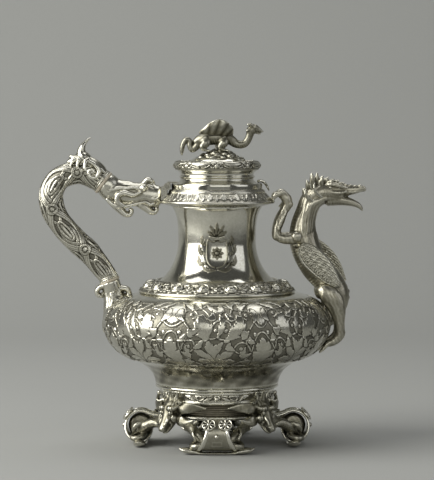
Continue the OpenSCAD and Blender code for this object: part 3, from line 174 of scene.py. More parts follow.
@dataclass
class Form:
    """Points in millimetres and four-cornered faces, gathered from grids, tubes and blobs."""

    points: list[Array] = field(default_factory=list)
    faces: list[NDArray[np.int64]] = field(default_factory=list)
    tones: list[Array] = field(default_factory=list)
    count: int = 0

    def grid(self, p: Array, wrap_u: bool = False, wrap_v: bool = False, tone: Array | None = None) -> "Form":
        """Adds a surface from a grid of points: face (u, v) joins points u, u+1 and v, v+1.

        Args:
            p: array (rows, columns, 3). Its outside is on the left of u when v points up.
            wrap_u: joins the last row to the first.
            wrap_v: joins the last column to the first.
            tone: how dark each point is, from -1, worn bright, to 1, dark.

        Returns:
            This form.
        """
        n, m = p.shape[:2]
        index = np.arange(n * m).reshape(n, m) + self.count
        u = np.r_[np.arange(n), 0] if wrap_u else np.arange(n)
        v = np.r_[np.arange(m), 0] if wrap_v else np.arange(m)
        k = index[np.ix_(u, v)]
        self.faces.append(np.stack([k[:-1, :-1], k[1:, :-1], k[1:, 1:], k[:-1, 1:]], -1).reshape(-1, 4))
        self.points.append(p.reshape(-1, 3))
        self.tones.append(np.zeros(n * m) if tone is None else tone.reshape(-1))
        self.count += n * m
        return self

    def limb(self, rows: Rows, sides: int = 20, along: int = 8, side: Sequence[float] = (0, 1, 0),
            shape: Callable[[Array, Array], Array] | None = None) -> "Form":
        """Adds a closed tapering limb: at each point of a smooth path an ellipse, square to the path.

        Args:
            rows: x, y, z, half depth and half width at each point.
            sides: points round the limb.
            along: rings for each row.
            side: the way of the width.
            shape: from angle and way along (0 to 1), a factor on the ellipse.

        Returns:
            This form.
        """
        q = spline(rows, along * (len(rows) - 1) + 1)
        spine, depth, width = q[:, :3], q[:, 3:4], q[:, 4:5]
        way = unit(np.gradient(spine, axis=0))
        s = np.broadcast_to(np.asarray(side, float), spine.shape)
        across = unit(s - np.sum(s * way, 1, keepdims=True) * way)
        out = np.cross(way, across)
        a = np.linspace(0, 2 * np.pi, sides, endpoint=False)
        t = np.linspace(0, 1, len(q))[:, None]
        k = 1.0 if shape is None else shape(a[None, :], t)
        deep, wide = depth * np.cos(a) * k, width * np.sin(a) * k
        ring = deep[..., None] * out[:, None] + wide[..., None] * across[:, None]
        p = spine[:, None] + ring
        cap = np.array([0.02, 0.5, 0.86])[:, None, None]
        bulge = 0.45 * np.minimum(depth, width)
        head = spine[0] + ring[0] * cap - way[0] * bulge[0] * np.sqrt(1 - cap**2)
        tail = spine[-1] + ring[-1] * cap[::-1] + way[-1] * bulge[-1] * np.sqrt(1 - cap[::-1] ** 2)
        return self.grid(np.concatenate([head, p, tail])[:, ::-1], wrap_v=True)

    def blob(self, centre: Sequence[float], radii: Sequence[float], sides: int = 16) -> "Form":
        """Adds an ellipsoid.

        Args:
            centre: its middle.
            radii: its half sizes along X, Y and Z.
            sides: points round it.

        Returns:
            This form.
        """
        u = np.linspace(0.02, np.pi - 0.02, sides // 2 + 1)[:, None]
        v = np.linspace(0, 2 * np.pi, sides, endpoint=False)[None, :]
        p = np.stack([np.sin(u) * np.cos(v), np.sin(u) * np.sin(v), np.cos(u) + 0 * v], -1)
        return self.grid(p * np.asarray(radii, float) + np.asarray(centre, float), wrap_v=True)

    def merged(self) -> tuple[Array, NDArray[np.int64], Array]:
        """All points, faces and tones as three arrays."""
        return np.concatenate(self.points), np.concatenate(self.faces), np.concatenate(self.tones)

    def turned(self, degrees: float, about: int = 2) -> "Form":
        """A copy turned by a rotation matrix.

        Args:
            degrees: how far, anticlockwise.
            about: the axis: 0 for X, 1 for Y, 2 for Z.

        Returns:
            The new form.
        """
        a = np.radians(degrees)
        i, j = [(1, 2), (2, 0), (0, 1)][about]
        m = np.eye(3)
        m[i, i] = m[j, j] = np.cos(a)
        m[i, j], m[j, i] = -np.sin(a), np.sin(a)
        p, f, t = self.merged()
        return Form([p @ m.T], [f], [t], len(p))

    def moved(self, x: float, y: float, z: float) -> "Form":
        """A copy moved by x, y and z."""
        p, f, t = self.merged()
        return Form([p + np.array([x, y, z])], [f], [t], len(p))

    def flipped(self) -> "Form":
        """A mirror copy on the other side of the XZ plane, with its faces turned back outwards."""
        p, f, t = self.merged()
        return Form([p * [1, -1, 1]], [f[:, ::-1]], [t], len(p))

    def add(self, *others: "Form") -> "Form":
        """Takes in other forms.

        Args:
            others: forms whose points and faces are copied.

        Returns:
            This form.
        """
        for other in others:
            p, f, t = other.merged()
            self.points.append(p)
            self.faces.append(f + self.count)
            self.tones.append(t)
            self.count += len(p)
        return self

    def both_sides(self) -> "Form":
        """This form and its mirror copy."""
        return Form().add(self, self.flipped())


def around(form: Form, count: int, start: float = 0) -> Form:
    """Copies of a form at even turns about Z.

    Args:
        form: what is repeated.
        count: how many copies.
        start: turn of the first, in degrees.

    Returns:
        One form.
    """
    return Form().add(*[form.turned(start + 360 * k / count) for k in range(count)])


def edges_of(faces: NDArray[np.int64]) -> NDArray[np.int64]:
    """The two ends of each face's sides, as an array (sides, 2)."""
    return np.concatenate([faces[:, [k, (k + 1) % 4]] for k in range(4)])


def spread(values: Array, edges: NDArray[np.int64], rounds: int, share: float = 0.5) -> Array:
    """Moves each point's value towards the mean of its neighbours'.

    Args:
        values: one row for each point.
        edges: pairs of neighbours.
        rounds: how many times.
        share: how far each time, from 0 to 1.

    Returns:
        The smoothed values.
    """
    n = len(values)
    v = values.reshape(n, -1).copy()
    ends = np.concatenate([edges, edges[:, ::-1]])
    near = np.maximum(np.bincount(ends[:, 0], minlength=n), 1)[:, None]
    for _ in range(rounds):
        mean = np.stack([np.bincount(ends[:, 0], v[ends[:, 1], k], n) for k in range(v.shape[1])], 1) / near
        v += share * (mean - v)
    return v.reshape(values.shape)


def normals_of(p: Array, faces: NDArray[np.int64]) -> Array:
    """Unit normals at points: the sum, over the faces round each, of the cross product of the diagonals.

    Args:
        p: points.
        faces: four corners for each face.

    Returns:
        A unit vector for each point.
    """
    n = np.cross(p[faces[:, 2]] - p[faces[:, 0]], p[faces[:, 3]] - p[faces[:, 1]])
    flat = faces.reshape(-1)
    return unit(np.stack([np.bincount(flat, np.repeat(n[:, k], 4), len(p)) for k in range(3)], 1))


def hollows(p: Array, faces: NDArray[np.int64], reach: int) -> Array:
    """How hollow the surface is: how high each point's neighbours stand over it. Raised places are negative.

    Args:
        p: points. faces: faces.
        reach: rounds of smoothing, so how wide a hollow counts.

    Returns:
        Curvature in 1/mm at each point.
    """
    edges = edges_of(faces)
    normals = normals_of(p, faces)
    rise = np.sum((spread(p, edges, 1, 1.0) - p) * normals, 1)
    length = np.mean(np.linalg.norm(p[edges[:, 0]] - p[edges[:, 1]], axis=1))
    return spread(rise, edges, reach) / length**2


def to_object(name: str, p: Array, faces: NDArray[np.int64], tone: Array,
        smooth: bool = True) -> bpy.types.Object:
    """Puts points in millimetres and faces into a new object, with the attribute tone on its points.

    Args:
        name: the object's name.
        p: points. faces: four corners each. tone: one value for each point.
        smooth: shades the faces smooth.

    Returns:
        The object, linked to the scene.
    """
    mesh = bpy.data.meshes.new(name)
    mesh.vertices.add(len(p))
    mesh.vertices.foreach_set("co", (p * MM).astype(np.float32).ravel())
    mesh.loops.add(faces.size)
    mesh.loops.foreach_set("vertex_index", faces.astype(np.int32).ravel())
    mesh.polygons.add(len(faces))
    mesh.polygons.foreach_set("loop_start", np.arange(0, faces.size, 4, dtype=np.int32))
    mesh.polygons.foreach_set("use_smooth", np.full(len(faces), smooth))
    mesh.attributes.new("tone", "FLOAT", "POINT").data.foreach_set("value", tone.astype(np.float32))
    mesh.update(calc_edges=True)
    mesh.validate()
    obj = bpy.data.objects.new(name, mesh)
    bpy.context.scene.collection.objects.link(obj)
    return obj


def shape_of(mesh: bpy.types.Mesh) -> tuple[Array, NDArray[np.int64]]:
    """Reads a mesh of four-cornered faces.

    Args:
        mesh: the mesh, in metres.

    Returns:
        Points in millimetres, and faces.
    """
    p = np.empty(len(mesh.vertices) * 3, np.float32)
    mesh.vertices.foreach_get("co", p)
    faces = np.empty(len(mesh.loops), np.int32)
    mesh.loops.foreach_get("vertex_index", faces)
    return p.reshape(-1, 3).astype(float) / MM, faces.reshape(-1, 4).astype(np.int64)


def tidy(obj: bpy.types.Object) -> None:
    """Merges points that lie on each other, as at seams and poles, and closes pinholes.

    Args:
        obj: the object whose mesh is cleaned. Faces that the merging flattens are dropped.
    """
    work = bmesh.new()
    work.from_mesh(obj.data)
    bmesh.ops.remove_doubles(work, verts=work.verts, dist=MERGE_MM * MM)
    bmesh.ops.dissolve_degenerate(work, edges=work.edges, dist=FLAT_MM * MM)
    bmesh.ops.holes_fill(work, edges=[e for e in work.edges if e.is_boundary], sides=0)
    work.to_mesh(obj.data)
    work.free()


def outwards(p: Array, faces: NDArray[np.int64]) -> NDArray[np.int64]:
    """Turns a closed form's faces round where its volume, a sum of corner pyramids, is below zero.

    Args:
        p: points.
        faces: four corners for each face.

    Returns:
        The faces, which point outwards.
    """
    a, b, c, d = (p[faces[:, k]] for k in range(4))
    volume = np.sum(a * (np.cross(b, c) + np.cross(c, d)))
    return faces if volume > 0 else faces[:, ::-1]


def made(name: str, form: Form, reach: int = 2, depth: float = 1.2) -> bpy.types.Object:
    """Makes an object of a form whose hollows are dark and whose ridges are bright.

    Args:
        name: the object's name.
        form: points, faces, and tones that are added to those found here.
        reach: how wide a hollow counts, in rounds of smoothing.
        depth: radius in millimetres at which a hollow is fully dark.

    Returns:
        The object.
    """
    p, faces, tone = form.merged()
    faces = outwards(p, faces)
    tone = np.clip(tone + depth * hollows(p, faces, reach), -1, 1)
    obj = to_object(name, p, faces, tone)
    tidy(obj)
    return obj


def cast(name: str, form: Form, voxel: float, relax: int = 4, depth: float = 1.2, reach: int = 3,
        detail: Callable[[Array, Array], Array] | None = None) -> bpy.types.Object:
    """Fuses the closed parts of a form into one skin, softens it as a casting is, and adds fine relief.

    Args:
        name: the object's name.
        form: overlapping closed surfaces.
        voxel: size of the skin's faces in millimetres.
        relax: rounds of smoothing.
        depth: radius in millimetres at which a hollow is fully dark.
        reach: how wide a hollow counts, in rounds of smoothing.
        detail: from points and normals, the height to raise each point by, in millimetres.

    Returns:
        The object.
    """
    p, faces, tone = form.merged()
    rough = to_object(name + "_rough", p, faces, tone)
    skin = rough.modifiers.new("skin", "REMESH")
    skin.mode = "VOXEL"
    skin.voxel_size = voxel * MM
    view = bpy.context.evaluated_depsgraph_get()
    mesh = bpy.data.meshes.new_from_object(rough.evaluated_get(view))
    p, faces = shape_of(mesh)
    bpy.data.objects.remove(rough)
    bpy.data.meshes.remove(mesh)
    p = spread(p, edges_of(faces), relax)
    if detail is not None:
        normals = normals_of(p, faces)
        p = p + detail(p, normals)[:, None] * normals
    tone = np.clip(depth * hollows(p, faces, reach), -1, 1)
    return to_object(name, p, faces, tone)


def revolved(profile: Array, columns: int, raised: Array | None = None, tone: Array | None = None,
        wrap: bool = True) -> Form:
    """Turns a profile about Z: a point's height over it is carried along the profile's normal.

    Args:
        profile: radius and height at each row, going anticlockwise round the section.
        columns: points round the axis.
        raised: height over the surface for each row and column, in millimetres.
        tone: darkness for each row and column.
        wrap: joins the last row to the first, for a closed section.

    Returns:
        The surface.
    """
    way = np.gradient(profile, axis=0)
    if wrap:
        way = np.roll(profile, -1, 0) - np.roll(profile, 1, 0)
    normal = unit(np.stack([way[:, 1], -way[:, 0]], 1))
    h = np.zeros((len(profile), columns)) if raised is None else raised
    r = np.maximum(profile[:, :1] + h * normal[:, :1], 0.01)
    z = profile[:, 1:] + h * normal[:, 1:]
    a = np.linspace(0, 2 * np.pi, columns, endpoint=False)[None, :]
    p = np.stack([r * np.cos(a), r * np.sin(a), z], -1)
    return Form().grid(p[::-1], wrap_u=wrap, wrap_v=True, tone=None if tone is None else tone[::-1])


def relief_ring(front: Array, back: Array, raised: Array, tone: Array) -> Form:
    """A closed ring about Z whose front carries relief and whose back is plain.

    Args:
        front: radius and height along the front.
        back: the same along the back, from the front's end to its start.
        raised: height over the front for each row and column.
        tone: darkness of the front for each row and column.

    Returns:
        The surface.
    """
    fill = np.zeros((len(back), raised.shape[1]))
    return revolved(np.concatenate([front, back]), raised.shape[1], np.concatenate([raised, fill]),
        np.concatenate([tone, fill]))


# ---- Relief ------------------------------------------------------------------------------------


@dataclass
class Relief:
    """Chased work on a sheet of x across and y up, in millimetres: height and darkness at each point."""

    x: Array
    y: Array
    height: Array = field(init=False)
    tone: Array = field(init=False)
    ground: float = 0.3
    outline: float = 0.95
    outline_mm: float = 0.55

    def __post_init__(self) -> None:
        """Starts from a grey ground at height 0."""
        self.height = np.zeros_like(self.x)
        self.tone = np.full_like(self.x, self.ground)

    def nearest(self, line: Array) -> tuple[Array, Array, Array]:
        """For each point of the sheet, the closest place on a line.

        Args:
            line: points of the line.

        Returns:
            Distance, way along the line from 0 to 1, and side: positive to the left.
        """
        best = np.full(self.x.shape, 1e9)
        along, side = np.zeros_like(best), np.zeros_like(best)
        gaps = np.linalg.norm(np.diff(line, axis=0), axis=1)
        start = np.r_[0, np.cumsum(gaps)] / gaps.sum()
        for k, (a, b) in enumerate(zip(line[:-1], line[1:])):
            d = b - a
            t = np.clip(((self.x - a[0]) * d[0] + (self.y - a[1]) * d[1]) / max(d @ d, 1e-9), 0, 1)
            dx, dy = self.x - a[0] - t * d[0], self.y - a[1] - t * d[1]
            gap = np.hypot(dx, dy)
            closer = gap < best
            best = np.where(closer, gap, best)
            along = np.where(closer, start[k] + t * (start[k + 1] - start[k]), along)
            side = np.where(closer, np.sign(d[0] * dy - d[1] * dx), side)
        return best, along, side

    def lay(self, height: Array, tone: Array, beside: Array) -> None:
        """Puts a form on the sheet where it stands higher than what is there, with a dark line round it.

        Args:
            height: the form's height. tone: its darkness.
            beside: millimetres from its edge, outside it.
        """
        over = height > self.height
        line = self.outline * np.exp(-((beside / self.outline_mm) ** 2)) * (beside > 0)
        self.tone = np.where(over, tone, np.maximum(self.tone, line))
        self.height = np.where(over, height, self.height)

    def stem(self, points: Rows, width: float, height: float, steps: int = 8) -> "Relief":
        """A round thread along a smooth line: height times the root of one less distance over width squared.

        Args:
            points: places that the line passes.
            width: half its width.
            height: how far it stands up.
            steps: short lines for each of its points.

        Returns:
            This relief.
        """
        gap, _, _ = self.nearest(spline(points, steps * (len(points) - 1) + 1))
        crown = np.sqrt(np.clip(1 - (gap / width) ** 2, 0, 1))
        self.lay(height * crown, 0.2 - 0.8 * crown, gap - width)
        return self

    def band(self, points: Rows, width: float, height: float, grooves: int = 1, steps: int = 8) -> "Relief":
        """A flat band along a smooth line with rolled edges: its top is a cosine of the way across.

        Args:
            points: places that the line passes.
            width: half its width.
            height: how far it stands up.
            grooves: hollows along it, one fewer than its ridges.
            steps: short lines for each of its points.

        Returns:
            This relief.
        """
        gap, _, side = self.nearest(spline(points, steps * (len(points) - 1) + 1))
        across = np.clip(gap / width, 0, 1) * side
        ridge = 0.5 + 0.5 * np.cos(2 * np.pi * (grooves + 1) * (across + 1) / 2 - np.pi)
        wall = np.clip(1 - (gap / width) ** 6, 0, 1) ** 0.5
        self.lay(np.where(gap < width, height * wall * (0.72 + 0.28 * ridge), -1), 0.35 - 0.95 * ridge * wall,
            gap - width)
        return self

    def leaf(self, points: Rows, width: float, height: float, lobes: float = 3.0, notch: float = 0.35,
            steps: int = 5, veins: float = 0.45, flat: float = 0.45) -> "Relief":
        """A lobed leaf on a smooth midrib: its half width is a sine, notched between forward lobes.

        Args:
            points: places that the midrib passes, from the stalk to the tip.
            width: its greatest half width.
            height: how far it stands up.
            lobes: lobes on each side.
            notch: depth of the notches, from 0 to 1.
            steps: short lines for each of its points.
            veins: how dark its veins are. flat: power of its rounding, near 0 for a flat top.

        Returns:
            This relief.
        """
        gap, t, _ = self.nearest(spline(points, steps * (len(points) - 1) + 1))
        lean = t - 0.16 * gap / width
        part = (lobes * lean) % 1
        wave = (0.25 + 0.75 * part**0.8) * (1 - step_up(part, 0.84, 1.0))
        half = width * np.clip(np.sin(np.pi * np.clip(0.06 + 0.94 * t, 0, 1)), 0, 1) ** 0.62
        half = half * (1 - notch + notch * wave) + 0.05
        inside = np.clip(1 - (gap / half) ** 2, 0, 1)
        rib = np.exp(-((gap / (0.16 * width)) ** 2))
        vein = (0.5 + 0.5 * np.cos(2 * np.pi * lobes * (lean - 0.5 / lobes) * 2)) * veins / 0.45
        crown = np.where(inside > 0, 0.5 + 0.5 * inside**flat, 0)
        body = height * crown * (1 - 0.22 * vein * (1 - rib))
        body = body - 0.6 * veins * height * rib * (gap < 0.2 * width)
        self.lay(np.where(gap < half, body, -1), -0.75 + 0.45 * vein * (1 - rib) + 0.7 * (1 - inside) ** 4,
            gap - half)
        return self

    def dome(self, x: float, y: float, radius: float, height: float, collar: float = 0.0) -> "Relief":
        """A domed stone in a raised collar: a cap of a sphere, then a ring round it.

        Args:
            x: its place across. y: its place up.
            radius: of the stone.
            height: of the stone.
            collar: width of the ring, or 0 for none.

        Returns:
            This relief.
        """
        gap = np.hypot(self.x - x, self.y - y)
        cap = np.sqrt(np.clip(1 - (gap / radius) ** 2, 0, 1))
        self.lay(np.where(gap < radius, height * (0.35 + 0.65 * cap), -1), -0.9 + 1.3 * (1 - cap) ** 2,
            gap - radius)
        if collar > 0:
            ring = np.sqrt(np.clip(1 - ((gap - radius - 0.6 * collar) / (0.5 * collar)) ** 2, 0, 1))
            self.lay(0.6 * height * ring, 0.2 - 0.8 * ring, gap - radius - 1.1 * collar)
        return self


def relief(x: Array, y: Array) -> Relief:
    """An empty relief over a row of places across and a column of places up."""
    return Relief(*np.broadcast_arrays(x[None, :], y[:, None]))


def repeated(columns: int, repeats: int, radius: float) -> Array:
    """Millimetres across from the middle of each repeat, for columns of points round a circle."""
    return (np.arange(columns) * repeats / columns % 1 - 0.5) * (2 * np.pi * radius / repeats)


# ---- Finishes ----------------------------------------------------------------------------------


def add(tree: bpy.types.NodeTree, kind: str, settings: dict | None = None,
        links: dict | None = None) -> bpy.types.Node:
    """Adds a shader node.

    Args:
        tree: the material's or world's node tree.
        kind: the node's type, without ShaderNode before it.
        settings: values of its properties and, by socket name or number, of its inputs.
        links: sockets to join to its inputs.

    Returns:
        The node.
    """
    node = tree.nodes.new("ShaderNode" + kind)
    for key, value in (settings or {}).items():
        if isinstance(key, str) and hasattr(node, key):
            setattr(node, key, value)
        else:
            node.inputs[key].default_value = value
    for key, socket in (links or {}).items():
        tree.links.new(socket, node.inputs[key])
    return node


@dataclass(frozen=True)
class Silver:
    """Sterling silver: warm white where it is rubbed bright, brown-black oxide where no cloth reaches.

    A metal, so its look is all reflection. Planishing leaves it faintly wavy every 6 to 9 mm, casting
    leaves a grain of about 0.5 mm, and 150 years of polishing leave hairlines that only blur it.
    """

    name: str
    bright: str = "e8e6da"
    grey: str = "a5a294"
    dark: str = "2c2a21"
    gloss: float = 0.16
    dull: float = 0.42
    lift: float = 0.0
    grain_mm: float = 0.5
    grain_depth: float = 0.012
    wave_mm: float = 7.0
    wave_depth: float = 0.006
    hatch_mm: float = 0.0

    def material(self) -> bpy.types.Material:
        """Builds the shader: darkness from the point attribute tone and a slow noise mixes three colours.

        Returns:
            The material.
        """
        made_before = bpy.data.materials.get(self.name)
        if made_before:
            return made_before
        mat = bpy.data.materials.new(self.name)
        mat.use_nodes = True
        tree = mat.node_tree
        tree.nodes.clear()
        place = add(tree, "TexCoord").outputs["Object"]
        tone = add(tree, "Attribute", {"attribute_name": "tone"}).outputs["Fac"]
        cloud = add(tree, "TexNoise", {"Scale": 1 / (11 * MM), "Detail": 3.0, "Roughness": 0.6},
            {"Vector": place}).outputs["Fac"]
        fleck = add(tree, "TexNoise", {"Scale": 1 / (1.6 * MM), "Detail": 2.0},
            {"Vector": place}).outputs["Fac"]
        stain = add(tree, "Math", {"operation": "MULTIPLY_ADD", 1: 0.34, 2: self.lift - 0.17}, {0: cloud})
        worn = add(tree, "Math", {"operation": "MULTIPLY_ADD", 1: 0.3, 2: -0.15}, {0: fleck})
        both = add(tree, "Math", {"operation": "ADD"}, {0: stain.outputs[0], 1: worn.outputs[0]})
        total = add(tree, "Math", {"operation": "ADD", "use_clamp": False}, {0: tone, 1: both.outputs[0]})
        ramp = add(tree, "MapRange", {"From Min": -0.25, "From Max": 0.85}, {"Value": total.outputs[0]})
        colour = add(tree, "ValToRGB", {}, {0: ramp.outputs[0]})
        stops = colour.color_ramp.elements
        stops[0].color, stops[1].color = linear(self.bright), linear(self.dark)
        stops[1].position = 1.0
        middle = stops.new(0.42)
        middle.color = linear(self.grey)
        rough = add(tree, "MapRange", {"From Min": 0.0, "From Max": 1.0, "To Min": self.gloss,
            "To Max": self.dull}, {"Value": ramp.outputs[0]})
        wave = add(tree, "TexNoise", {"Scale": 1 / (self.wave_mm * MM), "Detail": 1.0}, {"Vector": place})
        grain = add(tree, "TexNoise", {"Scale": 1 / (self.grain_mm * MM), "Detail": 2.0}, {"Vector": place})
        soft = add(tree, "Bump", {"Strength": 1.0, "Distance": self.wave_depth * self.wave_mm * MM},
            {"Height": wave.outputs["Fac"]})
        fine = add(tree, "Bump", {"Strength": 1.0, "Distance": self.grain_depth * self.grain_mm * 4 * MM},
            {"Height": grain.outputs["Fac"], "Normal": soft.outputs[0]})
        normal = fine.outputs[0]
        if self.hatch_mm > 0:
            # punched ground: crossing strokes where the surface is dark
            ground = add(tree, "MapRange", {"From Min": 0.3, "From Max": 0.7}, {"Value": tone})
            strokes = add(tree, "TexVoronoi", {"feature": "F1", "Scale": 1 / (self.hatch_mm * MM)},
                {"Vector": place})
            deep = add(tree, "Math", {"operation": "MULTIPLY"},
                {0: ground.outputs[0], 1: strokes.outputs["Distance"]})
            normal = add(tree, "Bump", {"Strength": 1.0, "Distance": 0.35 * self.hatch_mm * MM},
                {"Height": deep.outputs[0], "Normal": normal}).outputs[0]
        skin = add(tree, "BsdfPrincipled", {"Metallic": 1.0},
            {"Base Color": colour.outputs[0], "Roughness": rough.outputs[0], "Normal": normal})
        add(tree, "OutputMaterial", {}, {"Surface": skin.outputs[0]})
        return mat


class Finish(Enum):
    """The finishes of the pot's silver."""

    # sheet rubbed with a burnisher: a soft mirror with hardly any grain
    POLISHED = Silver("burnished_sheet_silver", gloss=0.10, dull=0.3, lift=-0.12, grain_depth=0.002)
    # castings, chased and rubbed: bright ridges and grey hollows
    CAST = Silver("chased_cast_silver", gloss=0.2, dull=0.46, lift=0.02)
    # castings that a cloth seldom reaches: grey, with bright tips
    OXIDISED = Silver("oxidised_cast_silver", gloss=0.24, dull=0.5, lift=0.22, bright="cfcdbf", grey="7d7a6b")
    # sheet with a punched ground: bright leaves on a dull, dotted field
    CHASED = Silver("chased_sheet_silver", gloss=0.17, dull=0.5, lift=0.0, hatch_mm=1.1, grain_depth=0.008)
    # the band in the shade of the bowl: dull, with darker colours as painted shade
    BLACKENED = Silver("cast_silver_painted_shade", gloss=0.34, dull=0.6, lift=0.2, bright="c2beae",
        grey="7c776a")
    # the dragon's skin, brushed along its form: an uneven satin
    BRUSHED = Silver("brushed_cast_silver", gloss=0.26, dull=0.48, lift=0.14, bright="d6d3c4", grey="8f8b7b",
        dark="2e2b21", grain_mm=0.8, grain_depth=0.02, wave_mm=4.0, wave_depth=0.014)
    # feathers: satin with pale edges
    FEATHERED = Silver("feathered_cast_silver", gloss=0.26, dull=0.46, lift=0.0, bright="dad8ca",
        grey="9a9787")
    # pins, bolts and rivets: plain metal, worn grey
    FITTINGS = Silver("worn_silver_fittings", gloss=0.24, dull=0.4, lift=0.05, bright="c8c6ba", grey="8c8a7e")


def ivory() -> bpy.types.Material:
    """Ivory, turned and polished: warm cream with grain lines of about 0.6 mm that show it isn't plastic.

    Returns:
        The material.
    """
    mat = bpy.data.materials.new("turned_ivory")
    mat.use_nodes = True
    tree = mat.node_tree
    tree.nodes.clear()
    place = add(tree, "TexCoord").outputs["Object"]
    lines = add(tree, "TexNoise", {"Scale": 1 / (0.6 * MM), "Detail": 3.0, "Distortion": 0.6},
        {"Vector": place})
    cloud = add(tree, "TexNoise", {"Scale": 1 / (5 * MM), "Detail": 2.0}, {"Vector": place})
    mixed = add(tree, "Math", {"operation": "MULTIPLY"}, {0: lines.outputs["Fac"], 1: cloud.outputs["Fac"]})
    colour = add(tree, "ValToRGB", {}, {0: mixed.outputs[0]})
    stops = colour.color_ramp.elements
    stops[0].position, stops[0].color = 0.1, linear("9d927c")
    stops[1].position, stops[1].color = 0.42, linear("cfc8b8")
    bump = add(tree, "Bump", {"Strength": 0.4, "Distance": 0.02 * MM}, {"Height": lines.outputs["Fac"]})
    skin = add(tree, "BsdfPrincipled", {"Roughness": 0.32, "IOR": 1.54},
        {"Base Color": colour.outputs[0], "Normal": bump.outputs[0]})
    add(tree, "OutputMaterial", {}, {"Surface": skin.outputs[0]})
    return mat


def dress(obj: bpy.types.Object, *nodes: str, finish: Finish = Finish.CAST, body: str = "pot",
        slot: str = "cast_silver") -> bpy.types.Object:
    """Gives a new piece its finish, its body and the CAD nodes that it stands for.

    Args:
        obj: the piece.
        nodes: the CAD nodes that it replaces.
        finish: its silver.
        body: the moving body that carries it.
        slot: the record's material slot; not used.

    Returns:
        The piece.
    """
    obj.data.materials.clear()
    obj.data.materials.append(finish.value.material())
    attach(obj, body)
    if nodes:
        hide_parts(*nodes)
    log.info("%s: %d faces for %s", obj.name, len(obj.data.polygons), ", ".join(nodes) or "trim")
    return obj


# ---- The vessel ----------------------------------------------------------------------------------


